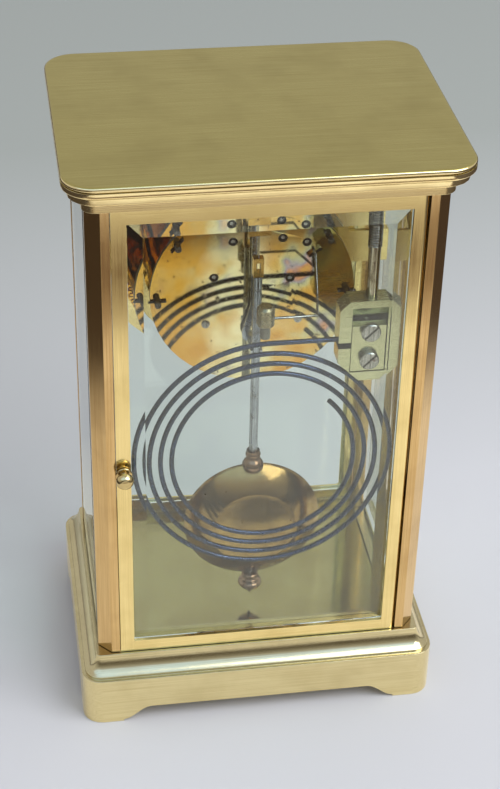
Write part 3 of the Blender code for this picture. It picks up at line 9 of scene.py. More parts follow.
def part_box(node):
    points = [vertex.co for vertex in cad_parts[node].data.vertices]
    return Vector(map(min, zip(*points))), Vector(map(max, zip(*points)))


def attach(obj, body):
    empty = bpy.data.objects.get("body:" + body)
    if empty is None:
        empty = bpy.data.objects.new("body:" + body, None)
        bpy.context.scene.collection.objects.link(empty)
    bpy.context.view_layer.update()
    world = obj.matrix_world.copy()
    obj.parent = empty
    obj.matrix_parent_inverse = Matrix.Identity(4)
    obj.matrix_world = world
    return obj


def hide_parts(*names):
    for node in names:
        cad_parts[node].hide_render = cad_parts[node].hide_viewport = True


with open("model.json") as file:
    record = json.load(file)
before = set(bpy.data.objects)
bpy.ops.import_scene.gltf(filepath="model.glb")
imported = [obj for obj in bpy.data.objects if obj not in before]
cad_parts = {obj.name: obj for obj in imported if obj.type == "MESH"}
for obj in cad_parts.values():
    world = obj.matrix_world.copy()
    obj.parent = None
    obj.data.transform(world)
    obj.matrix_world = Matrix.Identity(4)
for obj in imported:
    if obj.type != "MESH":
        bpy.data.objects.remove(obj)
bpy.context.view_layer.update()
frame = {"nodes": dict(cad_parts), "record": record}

mm = 0.001
tiny = 0.001 * mm  # a radius below this is a point on the axis
bodyOf = {node: body for body, nodes in frame["record"]["behaviour"]["bodies"].items() for node in nodes}
slotOf = {piece["node"]: piece["material_slot"] for piece in frame["record"]["subparts"]}


# Camera, as the photograph was taken: from behind the clock and above it
view = {
    "place": (0.10512, 0.63881, 0.57364),
    "right": (-0.988302, 0.151068, 0.021094),
    "up": (-0.068332, -0.562128, 0.824229),
    "back": (0.13637, 0.81314, 0.56587),
    "lens": 82.73,
    "sensor": 36,
}


def makeCamera():
    data = bpy.data.cameras.new("photo_camera")
    data.lens = view["lens"]
    data.sensor_width = view["sensor"]
    camera = bpy.data.objects.new("photo_camera", data)
    turn = Matrix((view["right"], view["up"], view["back"])).transposed()
    camera.matrix_world = Matrix.Translation(view["place"]) @ turn.to_4x4()
    bpy.context.scene.collection.objects.link(camera)
    bpy.context.scene.camera = camera


# Helpers for materials

def linear(hexText):
    values = [int(hexText[start:start + 2], 16) / 255 for start in (1, 3, 5)]
    return tuple(v / 12.92 if v <= 0.04045 else ((v + 0.055) / 1.055) ** 2.4 for v in values) + (1,)


def feed(tree, node, inputs):
    for key, value in inputs.items():
        if isinstance(value, bpy.types.Node):  # a node stands for its result
            value = next(socket for socket in value.outputs if socket.enabled)
        if isinstance(value, bpy.types.NodeSocket):
            tree.links.new(value, node.inputs[key])
        else:
            node.inputs[key].default_value = value


def addNode(tree, kind, inputs=None, **settings):
    node = tree.nodes.new(kind)
    for name, value in settings.items():
        setattr(node, name, value)
    feed(tree, node, inputs or {})
    return node


def startMaterial(name, values):
    material = bpy.data.materials.new(name)
    material.use_nodes = True
    tree = material.node_tree
    tree.nodes.clear()
    shader = addNode(tree, "ShaderNodeBsdfPrincipled", values)
    addNode(tree, "ShaderNodeOutputMaterial", {"Surface": shader})
    place = addNode(tree, "ShaderNodeTexCoord").outputs["Object"]
    return material, tree, shader, place


# Random patches about as long as size, in mm, times the shares that stretch gives
def patches(tree, place, size, detail=2.0, stretch=(1, 1, 1)):
    scale = tuple(1 / (size * mm * share) for share in stretch)
    scaled = addNode(tree, "ShaderNodeMapping", {"Vector": place, "Scale": scale})
    return addNode(tree, "ShaderNodeTexNoise",
                   {"Vector": scaled, "Scale": 1, "Detail": detail, "Roughness": 0.6})


def setStops(node, stops):
    while len(node.color_ramp.elements) < len(stops):
        node.color_ramp.elements.new(0.5)
    for element, (position, colour) in zip(node.color_ramp.elements, stops):
        element.position = position
        element.color = linear(colour)


# The ranges of a Map Range node; random patches mostly stay within 0.3 and 0.7
def fromTo(low, high, start=0.3, end=0.7):
    return {"From Min": start, "From Max": end, "To Min": low, "To Max": high}


# The two colours of a Mix node, whose sockets 6 and 7 take them
def tones(look, first, second):
    return {6: linear(look[first]), 7: linear(look[second])}


def twoTones(tree, pattern, look, first, second):
    shade = addNode(tree, "ShaderNodeMapRange", {0: pattern, **fromTo(0, 1)})
    return addNode(tree, "ShaderNodeMix", {0: shade, **tones(look, first, second)}, data_type="RGBA")


# Metals and enamel end alike: a third colour laid over part of the tone, and a slight relief
def finishSurface(tree, shader, tone, cover, colour, rough, height, depth):
    covered = addNode(tree, "ShaderNodeMix", {0: cover, 6: tone, 7: linear(colour)}, data_type="RGBA")
    relief = addNode(tree, "ShaderNodeBump", {"Height": height, "Distance": depth * mm})
    feed(tree, shader, {"Base Color": covered, "Roughness": rough, "Normal": relief})


# Brass of the case: cast or drawn, brushed with fine abrasive and lacquered, so it is pale and satin with
# straight hairlines; the real lines are under 0.1 mm and are drawn 0.4 mm wide so that they show
caseBrass = {
    "pale": "#E9D59A",
    "deep": "#DAC488",
    "aged": "#B49A5C",
    "wear": 0.4,
    "wearReach": (0.45, 0.75),
    "roughness": 0.17,
    "lineRough": (-0.05, 0.05),
    "cloudRough": (-0.03, 0.05),
    "lineWidth": 0.4,
    "lineLength": 40,
    "lineDepth": 0.004,
    "cloud": 26,
    "sideFacing": 0.7,
}


def brushedBrass(name, look, grain):
    material, tree, shader, place = startMaterial(name, {"Metallic": 1.0})
    long, thin = look["lineLength"], look["lineWidth"]
    alongX = patches(tree, place, 1, 3, (long, thin, thin))
    alongY = patches(tree, place, 1, 3, (thin, long, thin))
    alongZ = patches(tree, place, 1, 3, (thin, thin, long))
    if grain == "upright":
        lines = alongZ
    elif grain == "round":
        normal = addNode(tree, "ShaderNodeNewGeometry").outputs["Normal"]
        across = addNode(tree, "ShaderNodeSeparateXYZ", {"Vector": normal}).outputs["X"]
        facing = addNode(tree, "ShaderNodeMath", {0: across}, operation="ABSOLUTE")
        side = addNode(tree, "ShaderNodeMath", {0: facing, 1: look["sideFacing"]}, operation="GREATER_THAN")
        lines = addNode(tree, "ShaderNodeMix", {0: side, 6: alongX, 7: alongY}, data_type="RGBA")
    elif grain == "door":
        across = addNode(tree, "ShaderNodeSeparateXYZ", {"Vector": place}).outputs["X"]
        aside = addNode(tree, "ShaderNodeMath", {0: across}, operation="ABSOLUTE")
        stile = addNode(tree, "ShaderNodeMath", {0: aside, 1: look["stileInner"]}, operation="GREATER_THAN")
        lines = addNode(tree, "ShaderNodeMix", {0: stile, 6: alongX, 7: alongZ}, data_type="RGBA")
    else:
        lines = alongX
    cloud = patches(tree, place, look["cloud"], 3)
    worn = addNode(tree, "ShaderNodeMapRange", {0: cloud, **fromTo(0, look["wear"], *look["wearReach"])})
    tone = twoTones(tree, lines, look, "pale", "deep")
    fine = addNode(tree, "ShaderNodeMapRange", {0: lines, **fromTo(*look["lineRough"])})
    broad = addNode(tree, "ShaderNodeMapRange", {0: cloud, **fromTo(*look["cloudRough"])})
    both = addNode(tree, "ShaderNodeMath", {0: fine, 1: broad}, operation="ADD")
    rough = addNode(tree, "ShaderNodeMath", {0: both, 1: look["roughness"]}, operation="ADD")
    finishSurface(tree, shader, tone, worn, look["aged"], rough, lines, look["lineDepth"])
    return material


# Polished brass parts: turned and buffed, gently darkened by age, with a few spots of tarnish
polishedLook = {
    "pale": "#D9B56C",
    "deep": "#B58B45",
    "patch": 9,
    "patchRough": (0, 0.06),
    "spot": "#5B3F22",
    "spotSize": 2.2,
    "spotShare": 0.7,
    "spotReach": (0.68, 0.78),
    "spotRough": (0, 0.2, 0.66, 0.8),
    "roughness": 0.13,
    "depth": 0.01,
}


def polishedBrass(name, look):
    material, tree, shader, place = startMaterial(name, {"Metallic": 1.0})
    patch = patches(tree, place, look["patch"], 4)
    fine = patches(tree, place, look["spotSize"], 2)
    spots = addNode(tree, "ShaderNodeMapRange",
                    {0: fine, **fromTo(0, look["spotShare"], *look["spotReach"])})
    tone = twoTones(tree, patch, look, "pale", "deep")
    dull = addNode(tree, "ShaderNodeMapRange", {0: patch, **fromTo(*look["patchRough"])})
    spotted = addNode(tree, "ShaderNodeMapRange", {0: fine, **fromTo(*look["spotRough"])})
    both = addNode(tree, "ShaderNodeMath", {0: dull, 1: spotted}, operation="ADD")
    rough = addNode(tree, "ShaderNodeMath", {0: both, 1: look["roughness"]}, operation="ADD")
    finishSurface(tree, shader, tone, spots, look["spot"], rough, patch, look["depth"])
    return material


# Movement plates: rolled brass, polished and gilded by lacquer, whose thin oxide film gives bands of straw,
# rose, violet and green round its paler middle
plateLook = {
    "film": (
        (0.30, "#C58C36"), (0.42, "#D0A04E"), (0.50, "#D0AE68"), (0.56, "#CBBE8C"), (0.60, "#B4B08E"),
        (0.64, "#A399A2"), (0.68, "#C08A6C"), (0.74, "#CC9A4C"),
    ),
    "patch": 17,
    "middle": "#EBDFB4",
    "middleX": 4,
    "middleShare": 0.8,
    "middleReach": (4.25, 17),
    "wander": 7,
    "wanderSize": 12,
    "amber": "#D09A34",
    "amberShare": 0.75,
    "amberReach": (14, 30),
    "stain": "#4A2E16",
    "stainSize": 2.6,
    "stainShare": 0.75,
    "stainReach": (0.66, 0.76),
    "stainRough": (0, 0.25, 0.6, 0.8),
    "roughness": 0.06,
    "depth": 0.02,
}


def filmedBrass(name, look):
    material, tree, shader, place = startMaterial(name, {"Metallic": 1.0})
    patch = patches(tree, place, look["patch"], 2)
    film = addNode(tree, "ShaderNodeValToRGB", {"Fac": patch})
    setStops(film, look["film"])
    across = addNode(tree, "ShaderNodeSeparateXYZ", {"Vector": place}).outputs["X"]
    offset = addNode(tree, "ShaderNodeMath", {0: across, 1: look["middleX"] * mm}, operation="SUBTRACT")
    drift = patches(tree, place, look["wanderSize"], 1)
    reach = look["wander"] * mm
    wander = addNode(tree, "ShaderNodeMapRange", {0: drift, **fromTo(-reach, reach)})
    moved = addNode(tree, "ShaderNodeMath", {0: offset, 1: wander}, operation="ADD")
    away = addNode(tree, "ShaderNodeMath", {0: moved}, operation="ABSOLUTE")
    near, far = (edge * mm for edge in look["middleReach"])
    middle = addNode(tree, "ShaderNodeMapRange", {0: away, **fromTo(look["middleShare"], 0, near, far)})
    pale = addNode(tree, "ShaderNodeMix", {0: middle, 6: film, 7: linear(look["middle"])}, data_type="RGBA")
    start, end = (edge * mm for edge in look["amberReach"])
    warmth = addNode(tree, "ShaderNodeMapRange", {0: across, **fromTo(0, look["amberShare"], start, end)})
    warm = addNode(tree, "ShaderNodeMix", {0: warmth, 6: pale, 7: linear(look["amber"])}, data_type="RGBA")
    fine = patches(tree, place, look["stainSize"], 2)
    stains = addNode(tree, "ShaderNodeMapRange",
                     {0: fine, **fromTo(0, look["stainShare"], *look["stainReach"])})
    stained = addNode(tree, "ShaderNodeMapRange", {0: fine, **fromTo(*look["stainRough"])})
    rough = addNode(tree, "ShaderNodeMath", {0: stained, 1: look["roughness"]}, operation="ADD")
    finishSurface(tree, shader, warm, stains, look["stain"], rough, patch, look["depth"])
    return material


# Steel: drawn rod and turned screws, polished, with brown shadows where the polish has gone
steelLook = {
    "pale": "#B9B7B4",
    "deep": "#6E6862",
    "line": 0.4,
    "lineStretch": 30,
    "rust": "#6B4A32",
    "patch": 5,
    "rustShare": 0.8,
    "rustReach": (0.55, 0.75),
    "rustRough": (0, 0.2, 0.5, 0.8),
    "roughness": 0.2,
    "depth": 0.004,
}


def polishedSteel(name, look):
    material, tree, shader, place = startMaterial(name, {"Metallic": 1.0})
    streak = patches(tree, place, look["line"], 3, (1, 1, look["lineStretch"]))
    patch = patches(tree, place, look["patch"], 3)
    rusty = addNode(tree, "ShaderNodeMapRange",
                    {0: patch, **fromTo(0, look["rustShare"], *look["rustReach"])})
    tone = twoTones(tree, streak, look, "pale", "deep")
    dull = addNode(tree, "ShaderNodeMapRange", {0: patch, **fromTo(*look["rustRough"])})
    rough = addNode(tree, "ShaderNodeMath", {0: dull, 1: look["roughness"]}, operation="ADD")
    finishSurface(tree, shader, tone, rusty, look["rust"], rough, streak, look["depth"])
    return material


# Blued steel: tempered wire and hands, whose oxide is a deep even blue that greys on its high sides
bluedLook = {
    "deep": "#1B243C",
    "pale": "#33425F",
    "patch": 7,
    "bare": "#667188",
    "bareSize": 0.8,
    "bareShare": 0.6,
    "bareReach": (0.6, 0.78),
    "rough": (0.18, 0.3),
    "coat": 0.35,
    "coatRoughness": 0.12,
    "depth": 0.004,
}


def bluedSteel(name, look):
    values = {"Metallic": 1.0, "Coat Weight": look["coat"], "Coat Roughness": look["coatRoughness"]}
    material, tree, shader, place = startMaterial(name, values)
    patch = patches(tree, place, look["patch"], 3)
    fine = patches(tree, place, look["bareSize"], 2)
    worn = addNode(tree, "ShaderNodeMapRange", {0: fine, **fromTo(0, look["bareShare"], *look["bareReach"])})
    tone = twoTones(tree, patch, look, "deep", "pale")
    rough = addNode(tree, "ShaderNodeMapRange", {0: fine, **fromTo(*look["rough"])})
    finishSurface(tree, shader, tone, worn, look["bare"], rough, fine, look["depth"])
    return material


# Plate glass: ground and polished, faintly green in its thickness; lamps pass through it to what it covers
glassLook = {
    "tint": "#F6FBF8",
    "ior": 1.52,
    "green": (0.42, 0.86, 0.76),
    "density": 9.0,
    "ripple": 30,
    "depth": 0.01,
    "strength": 0.3,
}


def clearGlass(name, look):
    tint = linear(look["tint"])
    values = {"Base Color": tint, "Roughness": 0.0, "IOR": look["ior"], "Transmission Weight": 1.0}
    material, tree, shader, place = startMaterial(name, values)
    wave = patches(tree, place, look["ripple"], 1)
    relief = addNode(tree, "ShaderNodeBump",
                     {"Height": wave, "Distance": look["depth"] * mm, "Strength": look["strength"]})
    feed(tree, shader, {"Normal": relief})
    clear = addNode(tree, "ShaderNodeBsdfTransparent", {"Color": tint})
    lamps = addNode(tree, "ShaderNodeLightPath").outputs["Is Shadow Ray"]
    both = addNode(tree, "ShaderNodeMixShader", {0: lamps, 1: shader, 2: clear})
    depth = addNode(tree, "ShaderNodeVolumeAbsorption",
                    {"Color": look["green"] + (1,), "Density": look["density"]})
    output = next(node for node in tree.nodes if node.type == "OUTPUT_MATERIAL")
    feed(tree, output, {"Surface": both, "Volume": depth})
    return material


# Enamel dial: vitreous enamel fired on copper, a warm white under a clear glaze with fine pinholes
enamelLook = {
    "ground": "#F2EEE2",
    "cream": "#E9E2CF",
    "patch": 16,
    "pinhole": "#B9AE98",
    "pin": 0.7,
    "pinShare": 0.6,
    "pinReach": (0.76, 0.82),
    "rough": (0.14, 0.19),
    "glaze": 0.5,
    "glazeRoughness": 0.05,
    "depth": 0.02,
}


def firedEnamel(name, look):
    values = {"Coat Weight": look["glaze"], "Coat Roughness": look["glazeRoughness"]}
    material, tree, shader, place = startMaterial(name, values)
    patch = patches(tree, place, look["patch"], 2)
    fine = patches(tree, place, look["pin"], 1)
    holes = addNode(tree, "ShaderNodeMapRange", {0: fine, **fromTo(0, look["pinShare"], *look["pinReach"])})
    tone = twoTones(tree, patch, look, "ground", "cream")
    rough = addNode(tree, "ShaderNodeMapRange", {0: patch, **fromTo(*look["rough"])})
    finishSurface(tree, shader, tone, holes, look["pinhole"], rough, patch, look["depth"])
    return material


# Black enamel of the numerals: painted thick and fired, so it is glossy and very slightly uneven
inkLook = {"first": "#161619", "second": "#2B2B31", "patch": 1.5, "roughness": 0.22, "depth": 0.006}
# Hammer facing: hard sole leather, cut and glued, with an open grain of about half a millimetre
leatherLook = {"first": "#8C8272", "second": "#5F554A", "patch": 0.6, "roughness": 0.75, "depth": 0.08}
# Old oil that has dried brown in the sinks round the pivots, with a soft shine
oilLook = {"first": "#1B130C", "second": "#3A2818", "patch": 1.2, "roughness": 0.25, "uneven": 0.1,
           "depth": 0.01}
# Counter enamel, fired on the back of the dial's copper and left dull, made near black as painted shade
# behind the dial
counterShadeLook = dict(oilLook, first="#2A2A2C", second="#3C3A3A", patch=9, roughness=0.35)


def mottled(name, look, detail=2):
    material, tree, shader, place = startMaterial(name, {"Roughness": look["roughness"]})
    patch = patches(tree, place, look["patch"], detail)
    tone = addNode(tree, "ShaderNodeMix", {0: patch, **tones(look, "first", "second")}, data_type="RGBA")
    relief = addNode(tree, "ShaderNodeBump", {"Height": patch, "Distance": look["depth"] * mm})
    feed(tree, shader, {"Base Color": tone, "Normal": relief})
    if "uneven" in look:
        dull = look["roughness"] + look["uneven"]
        rough = addNode(tree, "ShaderNodeMapRange", {0: patch, **fromTo(look["roughness"], dull)})
        feed(tree, shader, {"Roughness": rough})
    return material


# One look for each piece or group whose colour and polish differ in the photograph
# The lid's top: a darker olive copy of the case brass. Its own brushed tone is darkened further as painted
# shade from the dim wall it would mirror
lidOliveAndShadeLook = dict(caseBrass, pale="#B7AB6C", deep="#A6985A", aged="#8E7F4C", wear=0.3, roughness=0.3,
               lineWidth=0.35)
# The cornice: a paler copy of the case brass, brightened as painted light where it would mirror the bright
# ground
cornicePaintedLightLook = dict(caseBrass, pale="#F6E4B2", deep="#E6D096", aged="#C8AE78", roughness=0.13)
# The plinth: a darker, greyer copy of the case brass, as painted shade of the shadowed floor it would mirror
plinthShadeLook = dict(caseBrass, pale="#CFC49C", deep="#BEB087", aged="#A3946A")
doorLook = dict(caseBrass, stileInner=0.0547, roughness=0.15)
pillarLook = dict(caseBrass, pale="#D2B482", deep="#BC9A66", aged="#98784C", roughness=0.15)
blockLook = dict(caseBrass, pale="#C6C49F", deep="#B5B28B", aged="#A5A07A", roughness=0.24, lineLength=12)
mirrorLook = dict(polishedLook, pale="#B7A972", deep="#A5955F", spot="#84744B", roughness=0.07, patch=30)
bobLook = dict(polishedLook, pale="#A98C58", deep="#86693F")
knobLook = dict(polishedLook, pale="#CFBE8C", deep="#A3895C", roughness=0.12)
nutLook = dict(polishedLook, pale="#A5876C", deep="#775A46", roughness=0.1)
dullLook = dict(polishedLook, pale="#A79C7E", deep="#7F745C", spot="#57462F", roughness=0.24, patch=4)
darkSteelLook = dict(steelLook, pale="#6F6A66", deep="#3B3633", rust="#3D2A1E")
rodLook = dict(steelLook, pale="#D2C8B4", deep="#9C907C", rust="#7D6850", roughness=0.14)
pendulumLook = dict(steelLook, pale="#B2B6BE", deep="#787E8A", rust="#6E6258")
finish = {
    "roundBrass": brushedBrass("lacquered_brass_brushed_round", caseBrass, "round"),
    "lidBrassAndShade": brushedBrass("lacquered_brass_brushed_lid_and_painted_shade", lidOliveAndShadeLook, "level"),
    "cornicePaintedLightBrass": brushedBrass("lacquered_brass_cast_cornice_painted_light", cornicePaintedLightLook, "round"),
    "plinthShadedBrass": brushedBrass("lacquered_brass_cast_plinth_painted_shade", plinthShadeLook, "round"),
    "doorBrass": brushedBrass("lacquered_brass_drawn_frame", doorLook, "door"),
    "pillarBrass": brushedBrass("lacquered_brass_drawn_pillar", pillarLook, "upright"),
    "blockBrass": brushedBrass("brushed_brass_block", blockLook, "level"),
    "mirrorBrass": polishedBrass("polished_brass_floor", mirrorLook),
    "agedBrass": polishedBrass("polished_brass_aged", polishedLook),
    "bobBrass": polishedBrass("spun_brass_bob", bobLook),
    "nutBrass": polishedBrass("turned_brass_rosy", nutLook),
    "knobBrass": polishedBrass("turned_brass_handled", knobLook),
    "dullBrass": polishedBrass("nickelled_brass_worn", dullLook),
    "plateBrass": filmedBrass("polished_brass_movement", plateLook),
    "steel": polishedSteel("polished_steel", steelLook),
    "darkSteel": polishedSteel("tarnished_steel", darkSteelLook),
    "rodSteel": polishedSteel("drawn_steel_rod", rodLook),
    "coldSteel": polishedSteel("polished_cold_steel", pendulumLook),
    "blued": bluedSteel("blued_tempered_steel", bluedLook),
    "glass": clearGlass("polished_plate_glass", glassLook),
    "enamel": firedEnamel("fired_white_enamel", enamelLook),
    "ink": mottled("fired_black_enamel", inkLook),
    "leather": mottled("sole_leather", leatherLook, 3),
    "oldOil": mottled("dried_clock_oil", oilLook),
    "counterEnamelPaintedShade": mottled("fired_counter_enamel_painted_shade", counterShadeLook),
}
print("materials made:", len(finish))


# Helpers for pieces

def dress(obj, finishName, body, slot, *nodes):
    obj.data.materials.clear()
    obj.data.materials.append(finish[finishName])
    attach(obj, body)
    if nodes:
        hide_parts(*nodes)
    return obj


def linked(name, mesh):
    obj = bpy.data.objects.new(name, mesh)
    bpy.context.scene.collection.objects.link(obj)
    return obj


def settle(obj):
    bpy.context.view_layer.update()
    graph = bpy.context.evaluated_depsgraph_get()
    mesh = bpy.data.meshes.new_from_object(obj.evaluated_get(graph))
    obj.modifiers.clear()
    obj.data = mesh


# Angles in degrees, lengths in mm
dressing = {"merge": 0.002, "flat": 0.4, "bevel": 30, "sharp": 38, "sharpTurned": 32}


def smooth(mesh, angle):
    mesh.shade_smooth()
    mesh.set_sharp_from_angle(angle=math.radians(angle))


def mergedMesh(node):
    mesh = frame["nodes"][node].data.copy()
    shape = bmesh.new()
    shape.from_mesh(mesh)
    bmesh.ops.remove_doubles(shape, verts=shape.verts, dist=dressing["merge"] * mm)
    flat = math.radians(dressing["flat"])
    bmesh.ops.dissolve_limit(shape, angle_limit=flat, verts=shape.verts, edges=shape.edges)
    shape.to_mesh(mesh)
    shape.free()
    return mesh


def breakEdges(obj, width):
    rounded = obj.modifiers.new("broken_edge", "BEVEL")
    rounded.width = width * mm
    rounded.segments = 2
    rounded.limit_method = "ANGLE"
    rounded.angle_limit = math.radians(dressing["bevel"])
    settle(obj)


def evenNormals(obj):
    smooth(obj.data, dressing["sharp"])
    even = obj.modifiers.new("flat_faces_stay_flat", "WEIGHTED_NORMAL")
    even.keep_sharp = True
    settle(obj)


# The plinth's round becomes the hollow slope of the real casting, ring by ring, inside its solid
plinthSlope = {
    "corner": 8.5,
    "low": 25.3,
    "rise": 8.2,
    "foot": 1.6,
    "reach": 5.2,
    "rings": 6,
    "hollowShare": 0.65,
    "tolerance": 0.1,
}


def easeSlope(mesh, look):
    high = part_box("base_plinth")[1]
    coreX = high.x - look["corner"] * mm
    coreY = high.y - look["corner"] * mm
    hollow = look["hollowShare"]
    margin = look["tolerance"] / look["rise"]
    for vert in mesh.vertices:
        rise = (vert.co.z / mm - look["low"]) / look["rise"]
        if not margin < rise < 1 - margin:
            continue
        angle = math.asin(rise)
        nearX = max(-coreX, min(coreX, vert.co.x))
        nearY = max(-coreY, min(coreY, vert.co.y))
        out = Vector((vert.co.x - nearX, vert.co.y - nearY))
        inset = look["foot"] + look["reach"] * (1 - math.cos(angle))
        if abs(out.length / mm - (look["corner"] - inset)) > look["tolerance"]:
            continue
        share = round(angle / (math.pi / 2) * look["rings"]) / look["rings"]
        turn = share * math.pi / 2
        inward = hollow * math.sin(turn) + (1 - hollow) * share
        upward = hollow * (1 - math.cos(turn)) + (1 - hollow) * share
        step = out.normalized() * (look["corner"] - look["foot"] - look["reach"] * inward) * mm - out
        vert.co.x += step.x
        vert.co.y += step.y
        vert.co.z = (look["low"] + look["rise"] * upward) * mm


def finishedNode(node, finishName, edge=0.0):
    obj = linked(node + "_finished", mergedMesh(node))
    if node == "base_plinth":
        easeSlope(obj.data, plinthSlope)
    if edge:
        breakEdges(obj, edge)
    evenNormals(obj)
    return dress(obj, finishName, bodyOf[node], slotOf[node], node)


def secondFinish(obj, finishName, chosen):
    obj.data.materials.append(finish[finishName])
    for face in obj.data.polygons:
        if chosen(face):
            face.material_index = len(obj.data.materials) - 1


# Case: every outside edge is broken by hand, and the finish follows the way each piece was rubbed;
# the number is the broken edge's width in mm
casePieces = {
    "base_plinth": ("plinthShadedBrass", 0.25),
    "cornice": ("cornicePaintedLightBrass", 0.2),
    "pillar_front_left": ("pillarBrass", 0.22),
    "pillar_front_right": ("pillarBrass", 0.22),
    "pillar_rear_left": ("pillarBrass", 0.22),
    "pillar_rear_right": ("pillarBrass", 0.22),
    "rear_door_frame": ("doorBrass", 0.2),
    "front_door_frame": ("doorBrass", 0.2),
    "gong_block": ("blockBrass", 0.25),
    "gong_clamp_plate": ("blockBrass", 0.15),
    "movement_carrier": ("roundBrass", 0.15),
}
for node, (finishName, edge) in casePieces.items():
    finishedNode(node, finishName, edge)

# Lid: a plate whose edge has a rounded lip, a fine dark groove and a plain band that is undercut below;
# each pair is how far the edge stands back and its height above the underside
lid = {
    "corner": 12.7,
    "cornerSteps": 20,
    "topFacing": 0.6,
    "edge": (
        (1.6, 0), (0.5, 0.7), (0.15, 1.0), (0, 1.4), (0, 2.9), (0.12, 3.15), (0.75, 3.3), (0.8, 3.5),
        (0.75, 3.7), (0.12, 3.85), (0, 4.15), (0.06, 4.65), (0.32, 5.12), (0.75, 5.4), (1.4, 5.5),
    ),
}


def makeLid():
    low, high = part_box("lid_plate")
    coreX = high.x - lid["corner"] * mm
    coreY = high.y - lid["corner"] * mm
    shape = bmesh.new()
    rings = []
    for inset, height in lid["edge"]:
        radius = (lid["corner"] - inset) * mm
        ring = []
        for quarter, (sideX, sideY) in enumerate(((1, 1), (-1, 1), (-1, -1), (1, -1))):
            for step in range(lid["cornerSteps"] + 1):
                angle = (quarter + step / lid["cornerSteps"]) * math.pi / 2
                x = sideX * coreX + radius * math.cos(angle)
                y = sideY * coreY + radius * math.sin(angle)
                ring.append(shape.verts.new((x, y, low.z + height * mm)))
        rings.append(ring)
    for lower, upper in zip(rings, rings[1:]):
        for step in range(len(lower)):
            after = (step + 1) % len(lower)
            shape.faces.new((lower[step], lower[after], upper[after], upper[step]))
    shape.faces.new(rings[-1])
    shape.faces.new(rings[0][::-1])
    mesh = bpy.data.meshes.new("lid_plate_moulded")
    shape.to_mesh(mesh)
    shape.free()
    obj = linked("lid_plate_moulded", mesh)
    evenNormals(obj)
    dress(obj, "lidBrassAndShade", bodyOf["lid_plate"], slotOf["lid_plate"], "lid_plate")
    # The lid's edge faces take the paler cornice brass: a painted highlight along the edge of the same plate
    secondFinish(obj, "cornicePaintedLightBrass", lambda face: face.normal.z < lid["topFacing"])


makeLid()
print("case dressed")

# Movement, gong fittings and pendulum: copies of the solids with their turned faces smoothed
smallPieces = {
    "back_plate": "plateBrass",
    "front_plate": "plateBrass",
    "dial": "enamel",
    "bezel": "roundBrass",
    "hour_hand": "blued",
    "minute_hand": "blued",
    "centre_wheel": "plateBrass",
    "third_wheel": "plateBrass",
    "escape_wheel": "plateBrass",
    "minute_wheel": "plateBrass",
    "hour_wheel": "plateBrass",
    "going_barrel": "plateBrass",
    "strike_barrel": "plateBrass",
    "pin_wheel": "plateBrass",
    "fly": "plateBrass",
    "going_winding_arbor": "steel",
    "strike_winding_arbor": "steel",
    "pallets": "steel",
    "crutch": "coldSteel",
    "suspension_cock": "agedBrass",
    "clamp_screw_upper": "steel",
    "clamp_screw_lower": "steel",
    "gong_rod": "rodSteel",
    "gong_rod_nut": "agedBrass",
    "hammer_arm": "steel",
    "hammer_head": "dullBrass",
    "hammer_leather": "leather",
    "rear_door_lower_pin": "steel",
    "rear_door_upper_pin": "steel",
    "front_door_lower_pin": "steel",
    "front_door_upper_pin": "steel",
    "rear_door_latch": "agedBrass",
    "front_door_latch": "agedBrass",
}
dressed = {node: finishedNode(node, finishName) for node, finishName in smallPieces.items()}

# Two finishes on one piece: arbors and pinions are steel as far out as given here, post ends and their pins
# are dark steel, oil has dried in the sinks of the back plate, and the dial's back is counter enamel, made
# near black as painted shade behind the dial
arbors = {"centre_wheel": 3.2, "third_wheel": 2.6, "escape_wheel": 2.4, "pin_wheel": 2.6, "fly": 2.0}
sinks = {"shallow": 0.3, "deep": 1.2, "area": 13}
backFacing = 0.5
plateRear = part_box("back_plate")[1].y
postsFrom = plateRear + 0.05 * mm  # what lies past this belongs to a post end or its pin


def onArbor(node, reach):
    low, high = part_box(node)
    axis = (low + high) / 2
    return lambda face: math.hypot(face.center.x - axis.x, face.center.z - axis.z) < reach * mm


def inSink(face):
    depth = plateRear - face.center.y
    return sinks["shallow"] * mm < depth < sinks["deep"] * mm and face.area < sinks["area"] * mm * mm


for node, reach in arbors.items():
    secondFinish(dressed[node], "steel", onArbor(node, reach))
secondFinish(dressed["front_plate"], "darkSteel", lambda face: face.center.y > postsFrom)
secondFinish(dressed["back_plate"], "oldOil", inSink)
# The dial's back: near black, painted shade
secondFinish(dressed["dial"], "counterEnamelPaintedShade", lambda face: face.normal.y > backFacing)
print("movement dressed")

# Pieces whose solids are right as they are
plainNodes = {
    "floor_plate": "mirrorBrass",
    "side_glass_left": "glass",
    "side_glass_right": "glass",
    "rear_door_glass": "glass",
    "front_door_glass": "glass",
    "suspension_spring": "steel",
    "pendulum_hook": "agedBrass",
}
for node, finishName in plainNodes.items():
    frame["nodes"][node].data.materials.clear()
    frame["nodes"][node].data.materials.append(finish[finishName])
print("plain nodes finished")


# Turned brasswork, redrawn with fine steps from the profile of each piece: shares of its radius and height
curveSteps = 5


def curvePoints(shares):
    points = [Vector(share) for share in shares]
    smoothPoints = [points[0]]
    for index in range(len(points) - 1):
        before = points[max(index - 1, 0)]
        start, end = points[index], points[index + 1]
        after = points[min(index + 2, len(points) - 1)]
        for step in range(1, curveSteps + 1):
            t = step / curveSteps
            bend = (2 * start + (end - before) * t + (2 * before - 5 * start + 4 * end - after) * t * t
                    + (3 * start - before - 3 * end + after) * t * t * t) / 2
            smoothPoints.append(Vector((max(bend.x, 0), min(max(bend.y, 0), 1))))
    return smoothPoints


